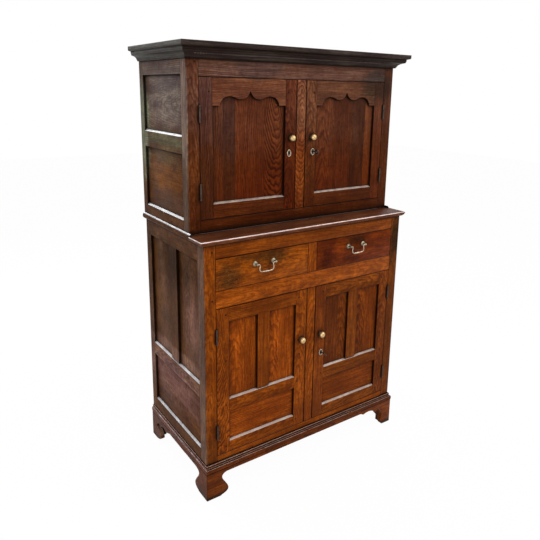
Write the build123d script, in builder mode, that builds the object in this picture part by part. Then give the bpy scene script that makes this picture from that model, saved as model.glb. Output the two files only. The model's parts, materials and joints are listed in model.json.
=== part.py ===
from build123d import *
import os

# A joined oak court cupboard in two stages: an upper case with two doors under ogee-arched
# rails stands, set back, on a lower case with two drawers over two panelled doors.
# Millimetres. X runs to the right along the front, Y to the back and Z up. The origin is on
# the floor, under the middle of the cupboard's overall box.

# ---------------------------------------------------------------------------------------
# Driving dimensions
# ---------------------------------------------------------------------------------------

# Lower case: plan
lower_width = 1044.0
lower_depth = 557.0
lower_post_width = 51.0
lower_post_depth = 50.0
lower_back_post_depth = 47.0
lower_muntin_width = 48.0
lower_rail_thickness = 30.0

# Lower case: heights, from the floor up
foot_height = 126.0
lower_bottom_rail_height = 58.0
lower_door_opening = 648.0
drawer_rail_height = 74.0
drawer_opening = 130.0
lower_top_rail_height = 58.0
ledge_thickness = 20.0

# Upper case: plan
upper_width = 1056.0
upper_setback = 107.0
upper_post_width = 52.0
upper_post_depth = 44.0
upper_back_post_depth = 40.0
upper_muntin_width = 50.0
upper_rail_thickness = 24.0

# Upper case: heights, from the ledge up
upper_bottom_rail_height = 53.0
upper_door_opening = 542.0
frieze_height = 106.0
top_board_thickness = 14.0

# Side frames: rails and muntin, with their visible heights above each case's bottom
back_post_width = 50.0
side_rail_thickness = 24.0
upper_side_bottom_rail = 58.0
upper_side_mid_rail = 73.0
upper_side_top_rail = 98.0
upper_side_low_panel = 250.0
lower_side_bottom_rail = 94.0
lower_side_mid_rail = 65.0
lower_side_top_rail = 68.0
lower_side_low_panel = 227.0
lower_side_muntin = 72.0
side_recess = 9.0

# Joinery shared by every frame
front_tenon_setback = 9.0
panel_thickness = 9.0
tenon_length = 24.0
groove_depth = 8.0
panel_play = 1.0
rail_bevel = 8.0

# Doors
door_thickness = 22.0
door_gap = 1.6
door_recess = 9.0
upper_stile_width = 55.0
upper_door_bottom_rail = 64.0
upper_door_top_rail = 103.0
upper_door_rail_back = 34.0
lower_stile_width = 57.0
lower_door_bottom_rail = 55.0
lower_door_low_panel = 132.0
lower_door_mid_rail = 62.0
lower_door_top_rail = 60.0
lower_door_muntin = 58.0
left_keyhole_backset = 33.0
right_keyhole_backset = 39.0

# Ogee arch under the upper doors' top rails, from the middle outwards
arch_half_width = 138.0
arch_peak_rise = 56.0
arch_valley_reach = 42.0
arch_valley_rise = 24.0
arch_shoulder_reach = 92.0
arch_shoulder_rise = 36.0

# Heights of the door furniture above the floor
upper_knob_height = 1472.0
upper_keyhole_height = 1411.0
lower_knob_height = 602.0
lower_left_keyhole_height = 534.0
lower_right_keyhole_height = 510.0
upper_hinge_heights = (1278.0, 1574.0)
lower_hinge_heights = (294.0, 717.0)
left_knob_inset = 27.0
right_knob_inset = 31.0

# Butt hinges
hinge_height = 65.0
knuckle_radius = 4.2
knuckle_proud = 4.6
knuckle_clearance = 0.3
hinge_pin_radius = 2.0
pin_clearance = 0.06
leaf_thickness = 1.6
leaf_recess = 1.2
leaf_width = 20.0

# Locks, bolts and keys
lock_width = 47.0
lock_above_keyhole = 33.0
lock_below_keyhole = 17.0
lock_setback = 8.0
lock_wall = 1.4
bolt_height = 12.0
bolt_thickness = 4.5
bolt_length = 36.0
bolt_travel = 9.0
bolt_clearance = 0.3
bolt_sink = 0.6
bolt_rise = 12.0
bolt_setback = 14.0
keyhole_radius = 3.2
keyhole_slot_width = 3.0
keyhole_slot_drop = 9.0
key_stem_radius = 2.6
key_collar_radius = 3.8
key_collar_length = 3.0
key_bit_drop = 6.0
key_bit_thickness = 2.0
key_bit_length = 3.4
key_bit_setback = 9.9
key_bow_reach = 30.0
key_bow_radius = 8.0
key_bow_wire = 2.0
key_bow_thickness = 4.4
key_full_turn = 360.0
lower_key_turn = 52.0
escutcheon_height = 30.0
escutcheon_width = 21.0
escutcheon_thickness = 1.0
escutcheon_rim_width = 3.4
escutcheon_rim_rise = 1.4

# Knobs
knob_radius = 13.8
knob_reach = 27.5
knob_head_rise = 11.0
knob_neck_angle = 68.0
knob_rose_radius = 8.0
knob_stud_radius = 3.0
knob_stud_length = 15.0
knob_rose_edge = 1.5

# Drawers
drawer_side_gap = 1.5
drawer_lift = 0.3
drawer_top_gap = 1.7
drawer_front_thickness = 20.0
drawer_side_thickness = 10.0
drawer_side_height = 112.0
drawer_length = 478.0
drawer_bottom_thickness = 7.0
drawer_bottom_rise = 9.0
drawer_groove = 4.0
dovetail_lap = 6.0
dovetail_count = 3
dovetail_root = 20.0
dovetail_flare = 4.0

# Drawer handles
handle_spacing = 88.0
handle_rise = 19.0
handle_reach = 18.0
handle_rose_radius = 10.5
handle_rose_thickness = 3.0
handle_stem_radius = 3.6
handle_head_radius = 5.5
handle_stub_radius = 2.6
handle_nut_radius = 7.0
handle_nut_thickness = 3.0
bail_wire_radius = 2.3
bail_pin_clearance = 0.06
bail_pin_overrun = 4.0
bail_shoulder_radius = 6.0
bail_neck_radius = 30.0
bail_neck_turn = 18.0
bail_corner_radius = 13.0
bail_knop_radius = 4.2
bail_knop_length = 20.0

# Mouldings
cornice_height = 58.0
cornice_projection = 66.0
cornice_side_projection = 45.0
cornice_top_proud = 2.0
ledge_projection = 18.0
ledge_return = 104.0
waist_projection = 16.0
waist_rise = 10.0
base_moulding_height = 31.0
base_projection = 18.0
base_side_projection = 9.0
plinth_projection = 16.5
plinth_side_projection = 8.0
plinth_thickness = 20.0
apron_height = 18.5

# Bracket feet. Each outline has the toe's reach from the corner, then the scrolls above it
# as points of (reach, height). Two scrolls meet in a cusp.
bracket_length = 205.0
left_foot_outline = (66.0, (((70.0, 3.0), (101.0, 33.0), (73.0, 91.0), (95.0, 107.5)),))
side_foot_outline = (76.0, (((80.0, 3.0), (109.0, 28.0), (72.0, 91.0), (106.0, 107.5)),))
right_foot_outline = (
    48.0,
    (
        ((54.0, 1.0), (67.0, 26.0), (59.0, 62.0), (80.0, 94.0), (101.0, 84.0)),
        ((101.0, 84.0), (139.0, 103.0), (187.0, 98.0)),
    ),
)
rear_foot_outline = (
    46.0,
    (
        ((52.0, 1.0), (90.0, 40.0), (53.0, 76.0), (72.0, 90.0), (97.0, 80.0)),
        ((97.0, 80.0), (126.0, 98.0), (160.0, 90.0)),
    ),
)
foot_block = 30.0
rear_bracket_length = 50.0
rear_bracket_thickness = 18.0

# Boards inside
floor_thickness = 16.0
door_stop_gap = 1.5
shelf_thickness = 18.0
upper_shelf_height = 1452.0
lower_shelf_height = 482.0
cleat_width = 20.0
cleat_height = 22.0
back_board_thickness = 12.0
back_board_count = 5
back_board_gap = 0.8
back_rebate = 12.0
runner_width = 26.0
runner_height = 22.0
guide_height = 24.0
kicker_height = 20.0
top_board_count = 3
lower_top_board_count = 2

# ---------------------------------------------------------------------------------------
# Derived planes and heights
# ---------------------------------------------------------------------------------------

key_reach = key_bow_reach + key_bow_radius + key_bow_wire
lower_front = (key_reach - lower_depth) / 2
case_back = lower_front + lower_depth
upper_front = lower_front + upper_setback
lower_half = lower_width / 2
upper_half = upper_width / 2

lower_bottom = foot_height
lower_door_bottom = lower_bottom + lower_bottom_rail_height
lower_door_top = lower_door_bottom + lower_door_opening
drawer_bottom = lower_door_top + drawer_rail_height
drawer_top = drawer_bottom + drawer_opening
lower_case_top = drawer_top + lower_top_rail_height
ledge_top = lower_case_top + ledge_thickness
upper_door_bottom = ledge_top + upper_bottom_rail_height
upper_door_top = upper_door_bottom + upper_door_opening
upper_case_top = upper_door_top + frieze_height
cornice_top = upper_case_top + top_board_thickness + cornice_top_proud
cornice_bottom = cornice_top - cornice_height

lower_opening_outer = lower_half - lower_post_width
lower_opening_inner = lower_muntin_width / 2
upper_opening_outer = upper_half - upper_post_width
upper_opening_inner = upper_muntin_width / 2

# The faces of the frames: x runs to the right as seen from outside, y up, z outwards
lower_face = Plane(origin=(0, lower_front, 0), x_dir=(1, 0, 0), z_dir=(0, -1, 0))
upper_face = Plane(origin=(0, upper_front, 0), x_dir=(1, 0, 0), z_dir=(0, -1, 0))
lower_left_face = Plane(origin=(-lower_half, 0, 0), x_dir=(0, -1, 0), z_dir=(-1, 0, 0))
upper_left_face = Plane(origin=(-upper_half, 0, 0), x_dir=(0, -1, 0), z_dir=(-1, 0, 0))

front_slot = (front_tenon_setback, panel_thickness)
door_slot = (door_recess, panel_thickness)
side_slot = (side_recess, panel_thickness)


# ---------------------------------------------------------------------------------------
# Shared forms
# ---------------------------------------------------------------------------------------

def board(face, u_span, v_span, thickness, setback=0.0):
    # A rectangular board behind a frame's face, across the spans u and v
    with BuildPart() as piece:
        with BuildSketch(face.offset(-setback)):
            with Locations(((u_span[0] + u_span[1]) / 2, (v_span[0] + v_span[1]) / 2)):
                Rectangle(u_span[1] - u_span[0], v_span[1] - v_span[0])
        extrude(amount=-thickness)
    return piece.part


def groove(face, u_span, v_span, slot):
    # The slot that a panel's edge stands in, as the solid to be cut away
    return board(face, u_span, v_span, slot[1], slot[0])


def frame_member(face, u_span, v_span, thickness, slot, tenons="u", grooves="", bevel=0.0):
    # A rail (tenons along u) or a muntin (tenons along v). The letters in grooves name the
    # edges that hold a panel: t, b, l and r. The bevel is on the upper front arris.
    u0, u1 = u_span
    v0, v1 = v_span
    edge_spans = {
        "t": (u_span, (v1 - groove_depth, v1)),
        "b": (u_span, (v0, v0 + groove_depth)),
        "l": ((u0, u0 + groove_depth), v_span),
        "r": ((u1 - groove_depth, u1), v_span),
    }
    tongue_u = [u0 - tenon_length * (tenons == "u"), u1 + tenon_length * (tenons == "u")]
    tongue_v = [v0 - tenon_length * (tenons == "v"), v1 + tenon_length * (tenons == "v")]
    tongue_u[0] += groove_depth * ("l" in grooves)
    tongue_u[1] -= groove_depth * ("r" in grooves)
    tongue_v[0] += groove_depth * ("b" in grooves)
    tongue_v[1] -= groove_depth * ("t" in grooves)
    with BuildPart() as member:
        add(board(face, u_span, v_span, thickness))
        if bevel:
            top_edges = member.edges().group_by(Axis(face.origin, face.y_dir))[-1]
            chamfer(top_edges.sort_by(Axis(face.origin, face.z_dir))[-1], bevel)
        for edge in grooves:
            add(groove(face, *edge_spans[edge], slot), mode=Mode.SUBTRACT)
        add(board(face, tongue_u, tongue_v, slot[1], slot[0]))
    return member.part


def stile(face, u_span, v_span, thickness, cuts):
    # An upright of a frame, with the mortises, grooves and housings cut by what it holds
    with BuildPart() as upright:
        add(board(face, u_span, v_span, thickness))
        for cut in cuts:
            add(cut, mode=Mode.SUBTRACT)
    return upright.part


def panel(face, u_span, v_span, slot):
    # A flat panel whose edges stand in the grooves round the opening u by v
    reach = groove_depth - panel_play
    u_wide = (u_span[0] - reach, u_span[1] + reach)
    v_wide = (v_span[0] - reach, v_span[1] + reach)
    return board(face, u_wide, v_wide, slot[1], slot[0])


def block(x_span, y_span, z_span):
    # A plain board or block between three pairs of planes
    with BuildPart() as piece:
        with BuildSketch(Plane.XY.offset(z_span[0])):
            with Locations(((x_span[0] + x_span[1]) / 2, (y_span[0] + y_span[1]) / 2)):
                Rectangle(x_span[1] - x_span[0], y_span[1] - y_span[0])
        extrude(amount=z_span[1] - z_span[0])
    return piece.part


def mirrored(shape):
    # The same piece on the other side of the cupboard
    return mirror(shape, about=Plane.YZ)


def pair(shape):
    return [shape, mirrored(shape)]


# ---------------------------------------------------------------------------------------
# Door furniture. Everything here is made for a left-hand door and mirrored for a right.
# ---------------------------------------------------------------------------------------

def hinge_frame_leaf(x_axis, face_y, height):
    # The leaf let into the post, its two outer knuckles and the pin they hold
    third = hinge_height / 3
    axis_y = face_y - knuckle_proud
    base = height - hinge_height / 2
    leaf_x = (x_axis - door_gap / 2 - leaf_recess, x_axis - door_gap / 2 - leaf_recess + leaf_thickness)
    with BuildPart() as leaf:
        add(block(leaf_x, (face_y, face_y + leaf_width), (base, base + hinge_height)))
        for offset in (0, 2 * third):
            add(block(leaf_x, (axis_y, face_y), (base + offset, base + offset + third)))
            with BuildSketch(Plane.XY.offset(base + offset)):
                with Locations((x_axis, axis_y)):
                    Circle(knuckle_radius)
            extrude(amount=third)
        with BuildSketch(Plane.XY.offset(base)):
            with Locations((x_axis, axis_y)):
                Circle(hinge_pin_radius)
        extrude(amount=hinge_height)
    return leaf.part


def hinge_door_leaf(x_axis, face_y, height):
    # The leaf let into the door's edge, with the middle knuckle bored for the pin
    third = hinge_height / 3
    axis_y = face_y - knuckle_proud
    base = height - hinge_height / 2
    knuckle_span = (base + third + knuckle_clearance, base + 2 * third - knuckle_clearance)
    leaf_x = (x_axis + door_gap / 2 + leaf_recess - leaf_thickness, x_axis + door_gap / 2 + leaf_recess)
    with BuildPart() as leaf:
        add(block(leaf_x, (face_y, face_y + leaf_width), (base, base + hinge_height)))
        add(block(leaf_x, (axis_y, face_y), knuckle_span))
        with BuildSketch(Plane.XY.offset(knuckle_span[0])):
            with Locations((x_axis, axis_y)):
                Circle(knuckle_radius)
        extrude(amount=knuckle_span[1] - knuckle_span[0])
        with BuildSketch(Plane.XY.offset(base)):
            with Locations((x_axis, axis_y)):
                Circle(hinge_pin_radius + pin_clearance)
        extrude(amount=hinge_height, mode=Mode.SUBTRACT)
    return leaf.part


def keyhole(face, x_key, z_key, depth):
    # A round hole with a slot below it, from the face inwards
    with BuildPart() as hole:
        with BuildSketch(face):
            with Locations((x_key, z_key)):
                Circle(keyhole_radius)
            with Locations((x_key, z_key - keyhole_slot_drop / 2)):
                Rectangle(keyhole_slot_width, keyhole_slot_drop)
        extrude(amount=-depth)
    return hole.part


def lock_case(face, edge_x, key_place):
    # A sheet-iron box let into the back of the stile, slotted for the bolt and the key
    backset, z_key = key_place
    spans = (edge_x - lock_width, edge_x), (z_key - lock_below_keyhole, z_key + lock_above_keyhole)
    inner_u = (spans[0][0] + lock_wall, spans[0][1] - lock_wall)
    inner_v = (spans[1][0] + lock_wall, spans[1][1] - lock_wall)
    depth = door_thickness - lock_setback
    slot_v = (
        z_key + bolt_rise - bolt_height / 2 - bolt_clearance,
        z_key + bolt_rise + bolt_height / 2 + bolt_clearance,
    )
    slot_depth = bolt_thickness + 2 * bolt_clearance
    with BuildPart() as case:
        add(board(face, *spans, depth, lock_setback))
        inside = board(face, inner_u, inner_v, depth - 2 * lock_wall, lock_setback + lock_wall)
        add(inside, mode=Mode.SUBTRACT)
        bolt_slot = board(face, (inner_u[1], edge_x), slot_v, slot_depth, bolt_setback - bolt_clearance)
        add(bolt_slot, mode=Mode.SUBTRACT)
        add(keyhole(face, edge_x - backset, z_key, lock_setback + lock_wall), mode=Mode.SUBTRACT)
    return case.part


def lock_bolt(face, edge_x, z_key, key_turn):
    # The bolt, drawn back into the door's edge, or thrown as far as its key is turned
    tip = edge_x - bolt_sink + bolt_travel * key_turn / key_full_turn
    u_span = (tip - bolt_length, tip)
    v_span = (z_key + bolt_rise - bolt_height / 2, z_key + bolt_rise + bolt_height / 2)
    return board(face, u_span, v_span, bolt_thickness, bolt_setback)


def bolt_mortise(face, edge_x, z_key):
    # The pocket in the muntin that the thrown bolt enters
    u_span = (edge_x + door_gap, edge_x + door_gap + bolt_travel)
    reach = bolt_height / 2 + 1
    v_span = (z_key + bolt_rise - reach, z_key + bolt_rise + reach)
    return board(face, u_span, v_span, bolt_thickness + 2, bolt_setback - 1)


def door_key(face, x_key, z_key, turn):
    # A small steel key standing in the lock: bit, stem, collar and a pierced ring bow
    stem_plane = face.offset(key_bow_reach - key_bow_radius)
    stem_length = key_bow_reach - key_bow_radius + key_bit_setback + key_bit_length
    bow_plane = Plane(origin=(x_key, face.origin.Y - key_bow_reach, z_key), z_dir=(1, 0, 0))
    with BuildPart() as key:
        with BuildSketch(stem_plane):
            with Locations((x_key, z_key)):
                Circle(key_stem_radius)
        extrude(amount=-stem_length)
        with BuildSketch(face.offset(key_bow_reach - key_bow_radius - key_collar_length)):
            with Locations((x_key, z_key)):
                Circle(key_collar_radius)
        extrude(amount=-key_collar_length)
        with BuildSketch(face.offset(-key_bit_setback)):
            with Locations((x_key, z_key - key_bit_drop / 2)):
                Rectangle(key_bit_thickness, key_bit_drop)
        extrude(amount=-key_bit_length)
        with BuildSketch(bow_plane):
            Circle(key_bow_radius + key_bow_wire)
            Circle(key_bow_radius - key_bow_wire, mode=Mode.SUBTRACT)
        extrude(amount=key_bow_thickness / 2, both=True)
    return key.part.rotate(Axis((x_key, face.origin.Y, z_key), (0, -1, 0)), turn)


def escutcheon(face, x_key, z_key):
    # An oval plate with a raised, rounded rim round the keyhole
    with BuildPart() as plate:
        middle = (x_key, z_key - keyhole_slot_drop / 4)
        with BuildSketch(face):
            with Locations(middle):
                Ellipse(escutcheon_width / 2, escutcheon_height / 2)
        extrude(amount=escutcheon_thickness + escutcheon_rim_rise)
        crest = plate.faces().sort_by(Axis(face.origin, face.z_dir))[-1].edges()
        fillet(crest, escutcheon_rim_rise * 0.9)
        with BuildSketch(face.offset(escutcheon_thickness)):
            with Locations(middle):
                Ellipse(
                    escutcheon_width / 2 - escutcheon_rim_width,
                    escutcheon_height / 2 - escutcheon_rim_width,
                )
        extrude(amount=escutcheon_rim_rise, mode=Mode.SUBTRACT)
        with BuildSketch(face):
            with Locations(middle):
                SlotOverall(keyhole_slot_drop + keyhole_radius, 2 * keyhole_radius, rotation=90)
        extrude(amount=escutcheon_thickness, mode=Mode.SUBTRACT)
    return plate.part


def knob(face, x_knob, z_knob):
    # A turned brass knob: rose, short neck, flattened globe and the stud through the stile
    profile_plane = Plane(origin=(x_knob, face.origin.Y, z_knob), x_dir=(1, 0, 0), z_dir=(0, 0, 1))
    with BuildPart() as turned:
        with BuildSketch(profile_plane):
            with BuildLine():
                head = EllipticalCenterArc(
                    (0, knob_head_rise - knob_reach),
                    knob_radius,
                    knob_head_rise,
                    start_angle=-90,
                    arc_size=90 + knob_neck_angle,
                )
                Polyline(
                    head @ 1,
                    (knob_rose_radius, -knob_rose_edge),
                    (knob_rose_radius, 0),
                    (knob_stud_radius, 0),
                    (knob_stud_radius, knob_stud_length),
                    (0, knob_stud_length),
                    head @ 0,
                )
            make_face()
        revolve(axis=Axis(profile_plane.origin, (0, 1, 0)))
    return turned.part


def knob_bore(face, x_knob, z_knob):
    with BuildPart() as bore:
        with BuildSketch(face):
            with Locations((x_knob, z_knob)):
                Circle(knob_stud_radius)
        extrude(amount=-knob_stud_length)
    return bore.part


# ---------------------------------------------------------------------------------------
# Doors
# ---------------------------------------------------------------------------------------

def ogee_top_rail(u_span, v_top):
    # The arched rail: a thin shaped lip over the panel, thicker above it, with tenons
    middle = (u_span[0] + u_span[1]) / 2
    shoulder = v_top - upper_door_top_rail
    lip = door_recess
    back_low = v_top - upper_door_rail_back
    with BuildPart() as rail:
        with BuildSketch(upper_face) as outline:
            with BuildLine():
                peak = (middle, shoulder + arch_peak_rise)
                valley = (middle - arch_valley_reach, shoulder + arch_valley_rise)
                crown = (middle - arch_shoulder_reach, shoulder + arch_shoulder_rise)
                spring = (middle - arch_half_width, shoulder)
                Polyline(
                    (middle, v_top),
                    (u_span[0], v_top),
                    (u_span[0], shoulder),
                    spring,
                )
                Spline(spring, crown, tangents=[(0.25, 1), (1, 0)])
                Spline(crown, valley, tangents=[(1, 0), (1, 0)])
                Spline(valley, peak, tangents=[(1, 0), (0.45, 1)])
                Line(peak, (middle, v_top))
            make_face()
            mirror(about=Plane(origin=(middle, 0, 0), x_dir=(0, 1, 0), z_dir=(1, 0, 0)))
        extrude(amount=-lip)
        add(board(upper_face, u_span, (back_low, v_top), door_thickness - lip, lip))
        tongue_u = (u_span[0] - tenon_length, u_span[1] + tenon_length)
        add(board(upper_face, tongue_u, (back_low, v_top - groove_depth), panel_thickness, lip))
    return rail.part


def door_furniture(face, hinge_x, edge_x, hinge_heights, knob_place, key_place):
    # Hinge leaves, knob and escutcheon of a left-hand door, and the cuts they need in it. The
    # places are (distance in from the door's edge, height).
    knob_x, knob_z = edge_x - knob_place[0], knob_place[1]
    key_x, key_z = edge_x - key_place[0], key_place[1]
    face_y = face.origin.Y
    leaves = [hinge_door_leaf(hinge_x, face_y, height) for height in hinge_heights]
    brass = [knob(face, knob_x, knob_z), escutcheon(face, key_x, key_z)]
    case_room = board(
        face,
        (edge_x - lock_width, edge_x),
        (key_z - lock_below_keyhole, key_z + lock_above_keyhole),
        door_thickness - lock_setback,
        lock_setback,
    )
    lock_cuts = [
        case_room,
        keyhole(face, key_x, key_z, lock_setback),
        knob_bore(face, knob_x, knob_z),
    ]
    return leaves, brass, lock_cuts


def door_outline(opening_outer, opening_inner, opening_low, opening_high):
    # A left-hand door's edges: the opening less the gap all round
    u_span = (-opening_outer + door_gap, -opening_inner - door_gap)
    return u_span, (opening_low + door_gap, opening_high - door_gap)


def upper_door(knob_inset, key_place, key_turn=0.0):
    # A left-hand upper door: one wide panel under the ogee arch
    u_span, v_span = door_outline(
        upper_opening_outer, upper_opening_inner, upper_door_bottom, upper_door_top
    )
    inner_u = (u_span[0] + upper_stile_width, u_span[1] - upper_stile_width)
    panel_low = v_span[0] + upper_door_bottom_rail
    bottom_rail = frame_member(
        upper_face,
        inner_u,
        (v_span[0], panel_low),
        door_thickness,
        door_slot,
        grooves="t",
        bevel=rail_bevel,
    )
    top_rail = ogee_top_rail(inner_u, v_span[1])
    panel_top = v_span[1] - upper_door_rail_back
    reach = groove_depth - panel_play
    door_panel = board(
        upper_face,
        (inner_u[0] - reach, inner_u[1] + reach),
        (panel_low - reach, panel_top - panel_play),
        panel_thickness,
        door_recess,
    )
    groove_u = (inner_u[0] - groove_depth, inner_u[1] + groove_depth)
    panel_groove = groove(upper_face, groove_u, (panel_low - groove_depth, panel_top), door_slot)
    hinge_x = u_span[0] - door_gap / 2
    leaves, brass, lock_cuts = door_furniture(
        upper_face,
        hinge_x,
        u_span[1],
        upper_hinge_heights,
        (knob_inset, upper_knob_height),
        key_place,
    )
    joinery = [top_rail, bottom_rail, panel_groove]
    hinge_stile = stile(
        upper_face, (u_span[0], inner_u[0]), v_span, door_thickness, joinery + leaves
    )
    lock_stile = stile(
        upper_face, (inner_u[1], u_span[1]), v_span, door_thickness, joinery + lock_cuts
    )
    return {
        "stiles": [hinge_stile, lock_stile],
        "rails": [top_rail, bottom_rail],
        "panel": [door_panel],
        "knob": brass,
        "lock": [lock_case(upper_face, u_span[1], key_place)],
        "bolt": [lock_bolt(upper_face, u_span[1], key_place[1], key_turn)],
        "hinges": leaves,
    }


def lower_door(knob_inset, key_place, with_escutcheon, key_turn=0.0):
    # A left-hand lower door: two tall panels side by side over one long low panel
    u_span, v_span = door_outline(
        lower_opening_outer, lower_opening_inner, lower_door_bottom, lower_door_top
    )
    inner_u = (u_span[0] + lower_stile_width, u_span[1] - lower_stile_width)
    middle = (u_span[0] + u_span[1]) / 2
    muntin_u = (middle - lower_door_muntin / 2, middle + lower_door_muntin / 2)
    low_panel_v = (
        v_span[0] + lower_door_bottom_rail,
        v_span[0] + lower_door_bottom_rail + lower_door_low_panel,
    )
    tall_panel_v = (low_panel_v[1] + lower_door_mid_rail, v_span[1] - lower_door_top_rail)
    shared = (door_thickness, door_slot)
    bottom_rail = frame_member(
        lower_face, inner_u, (v_span[0], low_panel_v[0]), *shared, grooves="t", bevel=rail_bevel
    )
    muntin = frame_member(lower_face, muntin_u, tall_panel_v, *shared, tenons="v", grooves="lr")
    mid_blank = frame_member(
        lower_face, inner_u, (low_panel_v[1], tall_panel_v[0]), *shared, grooves="tb", bevel=rail_bevel
    )
    top_blank = frame_member(lower_face, inner_u, (tall_panel_v[1], v_span[1]), *shared, grooves="b")
    with BuildPart() as mid_rail:
        add(mid_blank)
        add(muntin, mode=Mode.SUBTRACT)
    with BuildPart() as top_rail:
        add(top_blank)
        add(muntin, mode=Mode.SUBTRACT)
    groove_u = (inner_u[0] - groove_depth, inner_u[1] + groove_depth)
    grooves = [
        groove(lower_face, groove_u, (span[0] - groove_depth, span[1] + groove_depth), door_slot)
        for span in (low_panel_v, tall_panel_v)
    ]
    hinge_x = u_span[0] - door_gap / 2
    leaves, brass, lock_cuts = door_furniture(
        lower_face,
        hinge_x,
        u_span[1],
        lower_hinge_heights,
        (knob_inset, lower_knob_height),
        key_place,
    )
    joinery = [bottom_rail, mid_rail.part, top_rail.part] + grooves
    hinge_stile = stile(
        lower_face, (u_span[0], inner_u[0]), v_span, door_thickness, joinery + leaves
    )
    lock_stile = stile(
        lower_face, (inner_u[1], u_span[1]), v_span, door_thickness, joinery + lock_cuts
    )
    return {
        "stiles": [hinge_stile, lock_stile],
        "rails": [top_rail.part, mid_rail.part, bottom_rail, muntin],
        "panels": [
            panel(lower_face, (inner_u[0], muntin_u[0]), tall_panel_v, door_slot),
            panel(lower_face, (muntin_u[1], inner_u[1]), tall_panel_v, door_slot),
            panel(lower_face, inner_u, low_panel_v, door_slot),
        ],
        "knob": brass if with_escutcheon else brass[:1],
        "lock": [lock_case(lower_face, u_span[1], key_place)],
        "bolt": [lock_bolt(lower_face, u_span[1], key_place[1], key_turn)],
        "hinges": leaves,
    }


# ---------------------------------------------------------------------------------------
# Drawers
# ---------------------------------------------------------------------------------------

def drawer_side(x_span, z_low):
    # A drawer side with its lapped dovetails at the front end
    root_y = lower_front + drawer_front_thickness
    tip_y = lower_front + dovetail_lap
    back_y = lower_front + drawer_length
    pitch = drawer_side_height / dovetail_count
    side_plane = Plane(origin=(x_span[0], 0, 0), x_dir=(0, 1, 0), z_dir=(1, 0, 0))
    with BuildPart() as side:
        with BuildSketch(side_plane):
            with Locations(((root_y + back_y) / 2, z_low + drawer_side_height / 2)):
                Rectangle(back_y - root_y, drawer_side_height)
            for index in range(dovetail_count):
                centre = z_low + pitch * (index + 0.5)
                root_half = dovetail_root / 2
                tip_half = root_half + dovetail_flare
                with BuildLine():
                    Polyline(
                        (root_y, centre - root_half),
                        (root_y, centre + root_half),
                        (tip_y, centre + tip_half),
                        (tip_y, centre - tip_half),
                        close=True,
                    )
                make_face()
        extrude(amount=x_span[1] - x_span[0])
    return side.part


def handle_post(x_post, z_post):
    # Rose, stem and bored ball head of one handle post, with the stub through the front
    face_y = lower_front
    with BuildPart() as post:
        with BuildSketch(lower_face):
            with Locations((x_post, z_post)):
                Circle(handle_rose_radius)
        extrude(amount=handle_rose_thickness)
        rim = post.faces().sort_by(Axis.Y)[0].edges()
        fillet(rim, handle_rose_thickness * 0.7)
        with BuildSketch(lower_face):
            with Locations((x_post, z_post)):
                Circle(handle_stem_radius)
        extrude(amount=handle_reach)
        with Locations((x_post, face_y - handle_reach, z_post)):
            Sphere(handle_head_radius)
        with BuildSketch(lower_face):
            with Locations((x_post, z_post)):
                Circle(handle_stub_radius)
        extrude(amount=-(drawer_front_thickness + handle_nut_thickness))
        bore_plane = Plane(origin=(x_post, face_y - handle_reach, z_post), z_dir=(1, 0, 0))
        with BuildSketch(bore_plane):
            Circle(bail_wire_radius + bail_pin_clearance)
        extrude(amount=handle_head_radius, both=True, mode=Mode.SUBTRACT)
    return post.part


def handle_nut(x_post, z_post):
    with BuildPart() as nut:
        with BuildSketch(lower_face.offset(-drawer_front_thickness)):
            with Locations((x_post, z_post)):
                RegularPolygon(handle_nut_radius, 6)
                Circle(handle_stub_radius, mode=Mode.SUBTRACT)
        extrude(amount=-handle_nut_thickness)
    return nut.part


def swan_neck_bail(x_middle, z_post):
    # The swinging bail: pins in the heads, shoulders turned down, necks flared out and a
    # turned knop in the middle. The path is tangent arcs, mirrored about its middle.
    half = handle_spacing / 2
    plane = lower_face.offset(handle_reach)
    pin_end = half + bail_pin_overrun
    shoulder_start = half - handle_head_radius - 0.5
    with BuildPart() as bail:
        with BuildLine(plane) as path:
            pin = Line((x_middle - pin_end, z_post), (x_middle - shoulder_start, z_post))
            shoulder = JernArc(pin @ 1, pin % 1, bail_shoulder_radius, -90)
            neck = JernArc(shoulder @ 1, shoulder % 1, bail_neck_radius, -bail_neck_turn)
            corner = JernArc(neck @ 1, neck % 1, bail_corner_radius, 90 + bail_neck_turn)
            drop = plane.to_local_coords(corner @ 1)
            Line((drop.X, drop.Y), (x_middle, drop.Y))
        start = plane.from_local_coords((x_middle - pin_end, z_post, 0))
        with BuildSketch(Plane(origin=start, z_dir=(1, 0, 0))):
            Circle(bail_wire_radius)
        sweep()
        mirror(about=Plane(origin=(x_middle, 0, 0), z_dir=(1, 0, 0)))
        knop_plane = Plane(origin=(x_middle, plane.origin.Y, drop.Y), z_dir=(0, -1, 0), x_dir=(1, 0, 0))
        with BuildSketch(knop_plane):
            with BuildLine():
                arc = ThreePointArc(
                    (-bail_knop_length / 2, bail_wire_radius * 0.9),
                    (0, bail_knop_radius),
                    (bail_knop_length / 2, bail_wire_radius * 0.9),
                )
                Polyline(arc @ 1, (bail_knop_length / 2, 0), (-bail_knop_length / 2, 0), arc @ 0)
            make_face()
        revolve(axis=Axis(knop_plane.origin, (1, 0, 0)))
    return bail.part


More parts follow.
